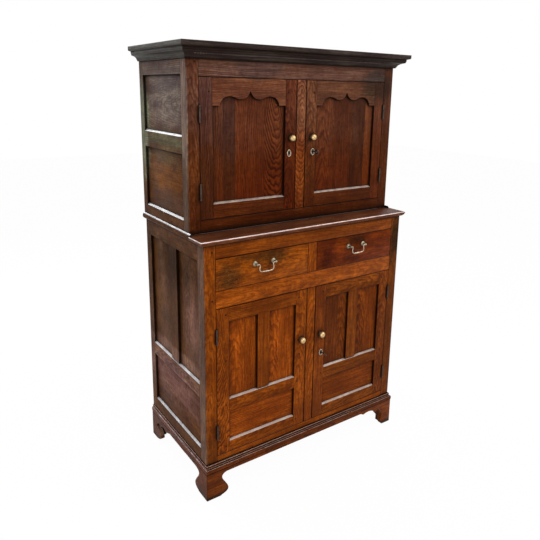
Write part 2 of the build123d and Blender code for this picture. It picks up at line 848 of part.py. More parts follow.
def drawer():
    # The left-hand drawer: dovetailed front, sides, back, bottom, handle posts and bail
    x_span = (-lower_opening_outer + drawer_side_gap, -lower_opening_inner - drawer_side_gap)
    z_low = drawer_bottom + drawer_lift
    z_top = drawer_top - drawer_top_gap
    middle = (x_span[0] + x_span[1]) / 2
    post_z = (z_low + z_top) / 2 + handle_rise
    post_xs = (middle - handle_spacing / 2, middle + handle_spacing / 2)
    left_side = drawer_side((x_span[0], x_span[0] + drawer_side_thickness), z_low)
    right_side = drawer_side((x_span[1] - drawer_side_thickness, x_span[1]), z_low)
    inner_x = (x_span[0] + drawer_side_thickness, x_span[1] - drawer_side_thickness)
    back_y = lower_front + drawer_length
    bottom_z = (z_low + drawer_bottom_rise, z_low + drawer_bottom_rise + drawer_bottom_thickness)
    bottom = block(
        (inner_x[0] - drawer_groove, inner_x[1] + drawer_groove),
        (lower_front + drawer_front_thickness - drawer_groove, back_y),
        bottom_z,
    )
    back = block(
        inner_x,
        (back_y - drawer_side_thickness, back_y),
        (bottom_z[1], z_low + drawer_side_height),
    )
    posts = [handle_post(x, post_z) for x in post_xs]
    sides = []
    for side in (left_side, right_side):
        with BuildPart() as grooved_side:
            add(side)
            add(bottom, mode=Mode.SUBTRACT)
        sides.append(grooved_side.part)
    with BuildPart() as front:
        add(board(lower_face, x_span, (z_low, z_top), drawer_front_thickness))
        for cut in [left_side, right_side, bottom] + posts:
            add(cut, mode=Mode.SUBTRACT)
    return {
        "front": [front.part],
        "box": sides + [back],
        "bottom": [bottom],
        "handle_posts": posts + [handle_nut(x, post_z) for x in post_xs],
        "bail": [swan_neck_bail(middle, post_z)],
    }


# ---------------------------------------------------------------------------------------
# Case frames
# ---------------------------------------------------------------------------------------

def side_frame(face, front_y, post_front, post_back, levels, slot, muntin_width=0.0):
    # The left side between its posts: three rails, an optional muntin under the top rail,
    # and panels. The levels are bottom, low panel, mid rail, high panel, top rail, top.
    u_span = (-(case_back - post_back), -(front_y + post_front))
    bottom, low_0, low_1, high_0, high_1, top = levels
    thick = side_rail_thickness
    bottom_rail = frame_member(face, u_span, (bottom, low_0), thick, slot, grooves="t", bevel=rail_bevel)
    mid_rail = frame_member(face, u_span, (low_1, high_0), thick, slot, grooves="tb", bevel=rail_bevel)
    top_rail = frame_member(face, u_span, (high_1, top), thick, slot, grooves="b")
    panels = [panel(face, u_span, (low_0, low_1), slot)]
    members = [bottom_rail]
    if muntin_width:
        middle = (u_span[0] + u_span[1]) / 2
        muntin_u = (middle - muntin_width / 2, middle + muntin_width / 2)
        muntin = frame_member(face, muntin_u, (high_0, high_1), thick, slot, tenons="v", grooves="lr")
        members.append(muntin)
        for blank in (mid_rail, top_rail):
            with BuildPart() as morticed:
                add(blank)
                add(muntin, mode=Mode.SUBTRACT)
            members.append(morticed.part)
        panels.append(panel(face, (u_span[0], muntin_u[0]), (high_0, high_1), slot))
        panels.append(panel(face, (muntin_u[1], u_span[1]), (high_0, high_1), slot))
    else:
        members += [mid_rail, top_rail]
        panels.append(panel(face, u_span, (high_0, high_1), slot))
    groove_u = (u_span[0] - groove_depth, u_span[1] + groove_depth)
    cuts = [
        groove(face, groove_u, (low_0 - groove_depth, low_1 + groove_depth), slot),
        groove(face, groove_u, (high_0 - groove_depth, high_1 + groove_depth), slot),
    ]
    return members, panels, cuts


def post(x_outer, width, y_span, z_span, cuts):
    # A left-hand corner post, with the mortises and grooves of both frames it stands in
    with BuildPart() as upright:
        add(block((x_outer, x_outer + width), y_span, z_span))
        for cut in cuts:
            add(cut, mode=Mode.SUBTRACT)
    return upright.part


def back_boards(half_width, z_span):
    # Upright boards in the rebates of the back posts, a shrinkage gap between each two
    reach = half_width - back_post_width + back_rebate
    pitch = 2 * reach / back_board_count
    boards = []
    for index in range(back_board_count):
        x_low = -reach + index * pitch
        x_span = (x_low + back_board_gap / 2, x_low + pitch - back_board_gap / 2)
        boards.append(block(x_span, (case_back - back_board_thickness, case_back), z_span))
    return boards


def notched_board(half_inside, front_y, posts, z_span, muntin=None):
    # A floor or shelf, notched round the four posts and a muntin that it stands behind.
    # The posts are given as (half the gap between them, back of the front ones, depth behind).
    half_gap, posts_y, back_depth = posts
    with BuildPart() as level:
        add(block((-half_inside, half_inside), (posts_y, case_back - back_depth), z_span))
        add(block((-half_gap, half_gap), (front_y, case_back - back_board_thickness), z_span))
        if muntin:
            add(muntin, mode=Mode.SUBTRACT)
    return level.part


# Upper case
upper_levels = (
    ledge_top,
    ledge_top + upper_side_bottom_rail,
    ledge_top + upper_side_bottom_rail + upper_side_low_panel,
    ledge_top + upper_side_bottom_rail + upper_side_low_panel + upper_side_mid_rail,
    upper_case_top - upper_side_top_rail,
    upper_case_top,
)
upper_side, upper_panels, upper_cuts = side_frame(
    upper_left_face, upper_front, upper_post_depth, upper_back_post_depth, upper_levels, side_slot
)
upper_clear = (-upper_opening_outer, upper_opening_outer)
upper_muntin_u = (-upper_opening_inner, upper_opening_inner)
upper_muntin_v = (upper_door_bottom, upper_door_top)
upper_edge_x = -upper_opening_inner - door_gap
muntin_blank = frame_member(
    upper_face, upper_muntin_u, upper_muntin_v, upper_rail_thickness, front_slot, tenons="v"
)
upper_mortise = bolt_mortise(upper_face, upper_edge_x, upper_keyhole_height)

with BuildPart() as upper_muntin:
    add(muntin_blank)
    add(upper_mortise, mode=Mode.SUBTRACT)
    add(mirrored(upper_mortise), mode=Mode.SUBTRACT)

with BuildPart() as frieze_rail:
    add(
        frame_member(
            upper_face, upper_clear, (upper_door_top, upper_case_top), upper_rail_thickness, front_slot
        )
    )
    add(muntin_blank, mode=Mode.SUBTRACT)

with BuildPart() as upper_bottom_rail:
    add(
        frame_member(
            upper_face, upper_clear, (ledge_top, upper_door_bottom), upper_rail_thickness, front_slot
        )
    )
    add(muntin_blank, mode=Mode.SUBTRACT)

upper_hinge_x = -upper_opening_outer + door_gap / 2
upper_frame_leaves = [
    hinge_frame_leaf(upper_hinge_x, upper_front, height) for height in upper_hinge_heights
]
upper_front_post = post(
    -upper_half,
    upper_post_width,
    (upper_front, upper_front + upper_post_depth),
    (ledge_top, upper_case_top),
    [frieze_rail.part, upper_bottom_rail.part] + upper_side + upper_cuts + upper_frame_leaves,
)
upper_back_boards = back_boards(upper_half, (ledge_top, upper_case_top))
upper_back_post = post(
    -upper_half,
    back_post_width,
    (case_back - upper_back_post_depth, case_back),
    (ledge_top, upper_case_top),
    upper_side + upper_cuts + [upper_back_boards[0]],
)

# Lower case
lower_levels = (
    lower_bottom,
    lower_bottom + lower_side_bottom_rail,
    lower_bottom + lower_side_bottom_rail + lower_side_low_panel,
    lower_bottom + lower_side_bottom_rail + lower_side_low_panel + lower_side_mid_rail,
    lower_case_top - lower_side_top_rail,
    lower_case_top,
)
lower_side, lower_panels, lower_cuts = side_frame(
    lower_left_face,
    lower_front,
    lower_post_depth,
    lower_back_post_depth,
    lower_levels,
    side_slot,
    lower_side_muntin,
)
lower_clear = (-lower_opening_outer, lower_opening_outer)
lower_muntin_u = (-lower_opening_inner, lower_opening_inner)
lower_edge_x = -lower_opening_inner - door_gap
door_muntin_blank = frame_member(
    lower_face,
    lower_muntin_u,
    (lower_door_bottom, lower_door_top),
    lower_rail_thickness,
    front_slot,
    tenons="v",
)
drawer_muntin = frame_member(
    lower_face,
    lower_muntin_u,
    (drawer_bottom, drawer_top),
    lower_rail_thickness,
    front_slot,
    tenons="v",
)

with BuildPart() as door_muntin:
    add(door_muntin_blank)
    add(bolt_mortise(lower_face, lower_edge_x, lower_left_keyhole_height), mode=Mode.SUBTRACT)
    right_mortise = mirrored(bolt_mortise(lower_face, lower_edge_x, lower_right_keyhole_height))
    add(right_mortise, mode=Mode.SUBTRACT)

lower_rail_spans = (
    (lower_bottom, lower_door_bottom),
    (lower_door_top, drawer_bottom),
    (drawer_top, lower_case_top),
)
lower_rails = []
for rail_span in lower_rail_spans:
    with BuildPart() as lower_rail:
        add(frame_member(lower_face, lower_clear, rail_span, lower_rail_thickness, front_slot))
        add(door_muntin_blank, mode=Mode.SUBTRACT)
        add(drawer_muntin, mode=Mode.SUBTRACT)
    lower_rails.append(lower_rail.part)

lower_hinge_x = -lower_opening_outer + door_gap / 2
lower_frame_leaves = [
    hinge_frame_leaf(lower_hinge_x, lower_front, height) for height in lower_hinge_heights
]
lower_front_post = post(
    -lower_half,
    lower_post_width,
    (lower_front, lower_front + lower_post_depth),
    (lower_bottom, lower_case_top),
    lower_rails + lower_side + lower_cuts + lower_frame_leaves,
)
lower_back_boards = back_boards(lower_half, (lower_bottom, lower_case_top))
lower_back_post = post(
    -lower_half,
    back_post_width,
    (case_back - lower_back_post_depth, case_back),
    (lower_bottom, lower_case_top),
    lower_side + lower_cuts + [lower_back_boards[0]],
)

# ---------------------------------------------------------------------------------------
# Boards inside the cases
# ---------------------------------------------------------------------------------------

upper_inside = upper_half - side_rail_thickness
lower_inside = lower_half - side_rail_thickness
inside_back = case_back - back_board_thickness
upper_post_gap = (
    upper_opening_outer,
    upper_front + upper_post_depth,
    upper_back_post_depth,
)
lower_post_gap = (
    lower_opening_outer,
    lower_front + lower_post_depth,
    lower_back_post_depth,
)
upper_floor = notched_board(
    upper_inside,
    upper_front + door_thickness + door_stop_gap,
    upper_post_gap,
    (upper_door_bottom, upper_door_bottom + floor_thickness),
    muntin_blank,
)
lower_floor = notched_board(
    lower_inside,
    lower_front + door_thickness + door_stop_gap,
    lower_post_gap,
    (lower_door_bottom, lower_door_bottom + floor_thickness),
    door_muntin_blank,
)
upper_shelf = notched_board(
    upper_inside,
    upper_front + upper_post_depth,
    upper_post_gap,
    (upper_shelf_height, upper_shelf_height + shelf_thickness),
)
lower_shelf = notched_board(
    lower_inside,
    lower_front + lower_post_depth,
    lower_post_gap,
    (lower_shelf_height, lower_shelf_height + shelf_thickness),
)


def shelf_cleats(half_inside, front_y, back_depth, z_top):
    # Strips on the inside of the side frames that carry a shelf or floor
    x_span = (-half_inside, -half_inside + cleat_width)
    y_span = (front_y, case_back - back_depth)
    return pair(block(x_span, y_span, (z_top - cleat_height, z_top)))


cleats = shelf_cleats(
    upper_inside, upper_front + upper_post_depth, upper_back_post_depth, upper_shelf_height
)
cleats += shelf_cleats(
    upper_inside, upper_front + upper_post_depth, upper_back_post_depth, upper_door_bottom
)
cleats += shelf_cleats(
    lower_inside, lower_front + lower_post_depth, lower_back_post_depth, lower_shelf_height
)
cleats += shelf_cleats(
    lower_inside, lower_front + lower_post_depth, lower_back_post_depth, lower_door_bottom
)

# Drawer runners: an L-shaped one at each side, a T-shaped one between the drawers, and a
# kicker above each that stops the open drawer from tipping
runner_y = (lower_front + lower_post_depth, case_back - lower_back_post_depth)
middle_y = (lower_front + lower_rail_thickness, inside_back)
runner_z = (drawer_bottom - runner_height, drawer_bottom)
kicker_z = (drawer_top, drawer_top + kicker_height)
runner_reach = lower_opening_outer - runner_width
middle_reach = lower_opening_inner + runner_width

with BuildPart() as side_runner:
    add(block((-lower_inside, -runner_reach), runner_y, runner_z))
    guide_x = (-lower_inside, -lower_opening_outer)
    add(block(guide_x, runner_y, (drawer_bottom, drawer_bottom + guide_height)))

with BuildPart() as middle_runner:
    add(block((-middle_reach, middle_reach), middle_y, runner_z))
    guide_x = (-lower_opening_inner, lower_opening_inner)
    add(block(guide_x, middle_y, (drawer_bottom, drawer_bottom + guide_height)))

side_kicker = block((-lower_inside, -runner_reach), runner_y, kicker_z)
middle_kicker = block((-middle_reach, middle_reach), middle_y, kicker_z)

# Dust boards that close the top of the upper case, side by side
top_boards = []
top_pitch = upper_width / top_board_count
for index in range(top_board_count):
    x_low = -upper_half + index * top_pitch
    top_boards.append(
        block(
            (x_low, x_low + top_pitch),
            (upper_front, case_back),
            (upper_case_top, upper_case_top + top_board_thickness),
        )
    )

# ---------------------------------------------------------------------------------------
# Mouldings. A profile is drawn as (distance out from the case, height). The distances are
# shares of its projection p, so that a front and a return of different depth meet in a mitre.
# ---------------------------------------------------------------------------------------

def cornice_profile(p):
    # Bead, cove, corona and a cyma under the top fillet
    base = cornice_bottom
    with BuildLine() as line:
        Polyline((0, cornice_top), (0, base), (0.14 * p, base), (0.14 * p, base + 3.5))
        cove = Bezier((0.18 * p, base + 3.5), (0.22 * p, base + 17), (0.62 * p, base + 22))
        Line((0.14 * p, base + 3.5), cove @ 0)
        Polyline(cove @ 1, (0.7 * p, base + 23), (0.7 * p, base + 28), (0.74 * p, base + 28))
        cyma = Bezier(
            (0.74 * p, base + 37), (0.84 * p, base + 40.5), (0.98 * p, base + 38), (p, base + 45)
        )
        Line((0.74 * p, base + 28), cyma @ 0)
        Polyline(cyma @ 1, (p, cornice_top), (0, cornice_top))
    return line


def ledge_profile(p):
    # A nosing over an ovolo, worked on the board's edge
    with BuildLine() as line:
        Polyline((0, ledge_top), (0, lower_case_top), (0.33 * p, lower_case_top))
        hollow = Bezier(
            (0.33 * p, lower_case_top), (0.75 * p, lower_case_top + 4), (0.89 * p, ledge_top - 9)
        )
        nose = Bezier(
            (0.89 * p, ledge_top - 9), (1.1 * p, ledge_top - 5), (0.89 * p, ledge_top)
        )
        Line(nose @ 1, (0, ledge_top))
    return line


def base_profile(p):
    # A small bead over a hollow and a rounded nose, above the plinth
    low = foot_height
    top = foot_height + base_moulding_height
    with BuildLine() as line:
        Polyline((0, top), (0, low), (p, low), (p, low + 12))
        nose = Bezier((p, low + 12), (p, low + 18), (0.7 * p, low + 18))
        hollow = Bezier(nose @ 1, (0.42 * p, low + 18), (0.36 * p, top - 7))
        bead = Bezier((0.36 * p, top - 7), (0.62 * p, top - 3), (0.3 * p, top))
        Line(bead @ 1, (0, top))
    return line


def moulding(profile, origin, outward, length):
    # A length of moulding, its profile standing on the plane through origin, out from the case
    plane = Plane(origin=origin, x_dir=outward, z_dir=Vector(*outward).cross(Vector(0, 0, 1)))
    with BuildPart() as run:
        with BuildSketch(plane):
            with BuildLine():
                add(profile.line)
            make_face()
        extrude(amount=length)
    return run.part


def mitre_plane(half_width, front_y, front_reach=1.0, side_reach=1.0):
    # The upright plane through a left front corner, outwards between the two reaches
    return Plane(
        origin=(-half_width, front_y, 0), x_dir=(0, 0, 1), z_dir=(front_reach, -side_reach, 0)
    )


def mitred_frame(profile, half_width, front_y, back_y, front_reach, side_reach):
    # Front length with both ends mitred, and the left return mitred at its front end
    corner = mitre_plane(half_width, front_y, front_reach, side_reach)
    corner_x = half_width + side_reach
    corner_y = front_y - front_reach
    front_run = moulding(profile(front_reach), (corner_x, front_y, 0), (0, -1, 0), 2 * corner_x)
    side_run = moulding(
        profile(side_reach), (-half_width, corner_y, 0), (-1, 0, 0), back_y - corner_y
    )
    with BuildPart() as front:
        add(front_run)
        split(bisect_by=corner, keep=Keep.TOP)
        other = Plane(
            origin=(half_width, front_y, 0), x_dir=(0, 0, 1), z_dir=(-front_reach, -side_reach, 0)
        )
        split(bisect_by=other, keep=Keep.TOP)
    with BuildPart() as side:
        add(side_run)
        split(bisect_by=corner, keep=Keep.BOTTOM)
    return front.part, side.part


cornice_front, cornice_left = mitred_frame(
    cornice_profile,
    upper_half,
    upper_front,
    case_back,
    cornice_projection,
    cornice_side_projection,
)
base_front, base_left = mitred_frame(
    base_profile, lower_half, lower_front, case_back, base_projection, base_side_projection
)
ledge_front, ledge_left = mitred_frame(
    ledge_profile,
    lower_half,
    lower_front,
    lower_front + ledge_return - ledge_projection,
    ledge_projection,
    ledge_projection,
)

# The ledge is one wide board, moulded on its front and ends, in front of the upper case. The
# boards that the upper case stands on close the lower case behind it.
with BuildPart() as ledge_board:
    add(block((-lower_half, lower_half), (lower_front, upper_front), (lower_case_top, ledge_top)))
    add(ledge_front)
    add(ledge_left)
    add(mirrored(ledge_left))

lower_top_boards = []
lower_top_pitch = (case_back - upper_front) / lower_top_board_count
for index in range(lower_top_board_count):
    board_y = upper_front + index * lower_top_pitch
    lower_top_boards.append(
        block(
            (-lower_half, lower_half),
            (board_y, board_y + lower_top_pitch),
            (lower_case_top, ledge_top),
        )
    )

# The moulding along each side of the joint between the two cases
waist_plane = Plane(
    origin=(0, lower_front + ledge_return - ledge_projection + 1, 0), x_dir=(1, 0, 0), z_dir=(0, -1, 0)
)
with BuildPart() as waist_left:
    with BuildSketch(waist_plane):
        with BuildLine():
            foot = (-lower_half, lower_case_top)
            lip = (-lower_half - 4, lower_case_top)
            nose_low = (-lower_half - waist_projection, lower_case_top + 10)
            nose_high = (-lower_half - waist_projection, lower_case_top + 16)
            crest = (-upper_half - 1.5, ledge_top + waist_rise)
            Polyline(foot, lip)
            RadiusArc(lip, nose_low, 16)
            Line(nose_low, nose_high)
            RadiusArc(nose_high, crest, 20)
            Polyline(crest, (-upper_half, ledge_top + waist_rise), (-upper_half, ledge_top))
            Polyline((-upper_half, ledge_top), (-lower_half, ledge_top), foot)
        make_face()
    extrude(amount=-(case_back - waist_plane.origin.Y))

# ---------------------------------------------------------------------------------------
# Plinth: bracket feet with shaped brackets mitred at the corner, and the aprons between
# ---------------------------------------------------------------------------------------

def bracket(face, outline):
    # One bracket, its corner at the origin of the face plane and its length along x
    toe, scrolls = outline
    with BuildPart() as shaped:
        with BuildSketch(face):
            with BuildLine():
                Polyline((0, foot_height), (0, 0), (toe, 0), scrolls[0][0])
                for scroll in scrolls:
                    Spline(*scroll)
                Polyline(
                    scrolls[-1][-1],
                    (bracket_length, foot_height - apron_height),
                    (bracket_length, foot_height),
                    (0, foot_height),
                )
            make_face()
        extrude(amount=-plinth_thickness)
    return shaped.part


plinth_half = lower_half + plinth_side_projection
plinth_front = lower_front - plinth_projection
plinth_corner = mitre_plane(plinth_half, plinth_front)
front_bracket_face = Plane(origin=(-plinth_half, plinth_front, 0), x_dir=(1, 0, 0), z_dir=(0, -1, 0))
side_bracket_face = Plane(origin=(-plinth_half, plinth_front, 0), x_dir=(0, 1, 0), z_dir=(1, 0, 0))
rear_bracket_face = Plane(origin=(-plinth_half, case_back, 0), x_dir=(0, -1, 0), z_dir=(-1, 0, 0))

with BuildPart() as left_front_bracket:
    add(bracket(front_bracket_face, left_foot_outline))
    split(bisect_by=plinth_corner, keep=Keep.TOP)

with BuildPart() as right_front_bracket:
    add(bracket(front_bracket_face, right_foot_outline))
    split(bisect_by=plinth_corner, keep=Keep.TOP)

with BuildPart() as foot_side_bracket:
    add(bracket(side_bracket_face.offset(plinth_thickness), side_foot_outline))
    split(bisect_by=plinth_corner, keep=Keep.BOTTOM)

rear_foot_bracket = bracket(rear_bracket_face, rear_foot_outline)

block_x = (-plinth_half + plinth_thickness, -plinth_half + plinth_thickness + foot_block)
front_block = block(
    block_x,
    (plinth_front + plinth_thickness, plinth_front + plinth_thickness + foot_block),
    (0, foot_height),
)
rear_block = block(
    block_x,
    (case_back - rear_bracket_thickness - foot_block, case_back - rear_bracket_thickness),
    (0, foot_height),
)
with BuildPart() as rear_plain_bracket:
    rear_plane = Plane(origin=(block_x[0], case_back, 0), x_dir=(1, 0, 0), z_dir=(0, -1, 0))
    with BuildSketch(rear_plane):
        with BuildLine():
            Polyline(
                (0, 0),
                (foot_block, 0),
                (rear_bracket_length, foot_height - apron_height),
                (rear_bracket_length, foot_height),
                (0, foot_height),
                close=True,
            )
        make_face()
    extrude(amount=rear_bracket_thickness)

feet = [left_front_bracket.part, mirrored(right_front_bracket.part)]
for piece in (
    foot_side_bracket.part,
    rear_foot_bracket,
    rear_plain_bracket.part,
    front_block,
    rear_block,
):
    feet += pair(piece)

apron_z = (foot_height - apron_height, foot_height)
apron_end = -plinth_half + bracket_length
front_apron = block(
    (apron_end, -apron_end), (plinth_front, plinth_front + plinth_thickness), apron_z
)
side_apron = block(
    (-plinth_half, -plinth_half + plinth_thickness),
    (plinth_front + bracket_length, case_back - bracket_length),
    apron_z,
)

# ---------------------------------------------------------------------------------------
# Nodes
# ---------------------------------------------------------------------------------------

nodes = {
    "cornice_front": [cornice_front],
    "cornice_returns": pair(cornice_left),
    "upper_top_boards": top_boards,
    "upper_front_posts": pair(upper_front_post),
    "upper_front_rails": [frieze_rail.part, upper_bottom_rail.part],
    "upper_muntin": [upper_muntin.part],
    "upper_side_frames": [
        side for member in upper_side + [upper_back_post] for side in pair(member)
    ],
    "side_panels": [side for member in upper_panels + lower_panels for side in pair(member)],
    "back_boards": upper_back_boards + lower_back_boards,
    "shelf_boards": [upper_floor, upper_shelf, lower_floor, lower_shelf] + cleats,
    "waist_mouldings": pair(waist_left.part),
    "ledge_boards": [ledge_board.part] + lower_top_boards,
    "lower_front_posts": pair(lower_front_post),
    "lower_front_rails": lower_rails,
    "lower_muntins": [door_muntin.part, drawer_muntin],
    "lower_side_frames": [
        side for member in lower_side + [lower_back_post] for side in pair(member)
    ],
    "drawer_runners": pair(side_runner.part)
    + [middle_runner.part, middle_kicker]
    + pair(side_kicker),
    "base_mouldings": [base_front] + pair(base_left) + [front_apron] + pair(side_apron),
    "bracket_feet": feet,
    "hinge_frame_leaves": [
        side for leaf in upper_frame_leaves + lower_frame_leaves for side in pair(leaf)
    ],
}

upper_left_key_place = (left_keyhole_backset, upper_keyhole_height)
upper_right_key_place = (right_keyhole_backset, upper_keyhole_height)
lower_left_key_place = (left_keyhole_backset, lower_left_keyhole_height)
lower_right_key_place = (right_keyhole_backset, lower_right_keyhole_height)

doors = {
    "upper_left_door": upper_door(left_knob_inset, upper_left_key_place),
    "lower_left_door": lower_door(left_knob_inset, lower_left_key_place, False),
}
right_doors = {
    "upper_right_door": upper_door(right_knob_inset, upper_right_key_place),
    "lower_right_door": lower_door(
        right_knob_inset, lower_right_key_place, True, lower_key_turn
    ),
}
for door_name, pieces in doors.items():
    for piece_name, solids in pieces.items():
        nodes[f"{door_name}_{piece_name}"] = solids
for door_name, pieces in right_doors.items():
    for piece_name, solids in pieces.items():
        nodes[f"{door_name}_{piece_name}"] = [mirrored(solid) for solid in solids]

nodes["upper_right_key"] = [
    door_key(upper_face, right_keyhole_backset - upper_edge_x, upper_keyhole_height, 0.0)
]
nodes["lower_right_key"] = [
    door_key(
        lower_face, right_keyhole_backset - lower_edge_x, lower_right_keyhole_height, lower_key_turn
    )
]

for piece_name, solids in drawer().items():
    nodes[f"left_drawer_{piece_name}"] = solids
    nodes[f"right_drawer_{piece_name}"] = [mirrored(solid) for solid in solids]

os.makedirs("parts", exist_ok=True)
for node_name, solids in nodes.items():
    if len(solids) == 1:
        node = solids[0]
    else:
        node = Compound(children=solids)
    node.label = node_name
    export_step(node, f"parts/{node_name}.step")
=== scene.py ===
"""The looks of a joined oak court cupboard: waxed wood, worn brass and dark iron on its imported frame."""

import json
import logging
import math
from dataclasses import dataclass, field
from enum import Enum

import bmesh
import bpy
import numpy as np
from mathutils import Matrix, Vector
from mathutils.bvhtree import BVHTree


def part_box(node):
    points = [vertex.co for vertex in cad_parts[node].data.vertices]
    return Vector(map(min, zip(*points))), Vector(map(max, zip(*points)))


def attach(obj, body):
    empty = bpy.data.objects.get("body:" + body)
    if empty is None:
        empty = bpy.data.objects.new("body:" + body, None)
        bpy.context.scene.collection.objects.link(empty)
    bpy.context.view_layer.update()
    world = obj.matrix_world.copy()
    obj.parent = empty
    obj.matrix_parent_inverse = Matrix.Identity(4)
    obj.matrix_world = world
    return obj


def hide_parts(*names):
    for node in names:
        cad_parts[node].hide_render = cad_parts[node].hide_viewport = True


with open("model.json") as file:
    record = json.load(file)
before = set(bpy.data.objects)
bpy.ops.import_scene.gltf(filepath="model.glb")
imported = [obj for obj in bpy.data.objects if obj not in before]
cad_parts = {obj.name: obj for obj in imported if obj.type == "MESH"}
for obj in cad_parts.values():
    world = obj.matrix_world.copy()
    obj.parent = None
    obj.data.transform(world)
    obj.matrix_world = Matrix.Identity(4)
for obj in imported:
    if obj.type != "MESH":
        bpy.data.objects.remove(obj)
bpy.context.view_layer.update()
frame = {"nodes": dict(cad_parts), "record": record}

LOG = logging.getLogger("court_cupboard")
BODY_OF = {node: body for body, nodes in frame["record"]["behaviour"]["bodies"].items() for node in nodes}
MILLIMETRE = 0.001
MILLIMETRES_PER_METRE = 1000.0
SMOOTH_ANGLE = math.radians(38.0)
WELD_STEPS_PER_METRE = 1e5
SLIVER = 2.0 * MILLIMETRE
Array = np.ndarray
Triple = tuple[float, float, float]
Tone = float | Triple


class Grain(Enum):
    """Which way the grain of a node's boards runs."""

    LONGEST = -1
    X = 0
    Y = 1
    Z = 2


class Cut(Enum):
    """How a board was sawn: the log's centre seen from the board's middle, in metres, and its lean."""

    FLAT = (0.012, 0.060, 0.110)
    RIFT = (0.100, 0.050, 0.030)
    QUARTER = (0.260, 0.020, 0.012)
    CUPS = (0.000, 0.045, -0.250)
    HALF = (0.034, 0.050, -0.200)


RANDOM_CUTS = (Cut.FLAT, Cut.RIFT, Cut.QUARTER)


@dataclass(frozen=True)
class Look:
    """How a node's boards look, in their order from left to right and upwards.

    Attributes:
        tones: The boards' tones, as one factor or three, after which they are random.
        cuts: The boards' cuts, after which they are random.
        figures: The strength of the boards' rings, after which it is random.
        shares: The widths of each panel's boards, where the panels are glued up of boards.
        grain: The way the grain runs.
        arris_rubbing_and_highlight: How worn the arrises are, from -1, dark with wax, to 1, bright with rubbing;
            above 0 the material also paints a highlight on them, and below 0 it paints shade where they meet in gaps.
    """

    tones: tuple[Tone, ...] = ()
    cuts: tuple[Cut, ...] = ()
    figures: tuple[float, ...] = ()
    shares: tuple[tuple[float, ...], ...] = ()
    grain: Grain = Grain.LONGEST
    arris_rubbing_and_highlight: float = -1.0


# ---------------------------------------------------------------------------------------
# Shader groups
# ---------------------------------------------------------------------------------------


def rgba(colour: Triple, gain: Triple = (1.0, 1.0, 1.0)) -> tuple[float, ...]:
    """Multiplies a colour by its gains, keeps it at or below 1, and adds an alpha of 1."""
    return (*(min(1.0, part * factor) for part, factor in zip(colour, gain)), 1.0)


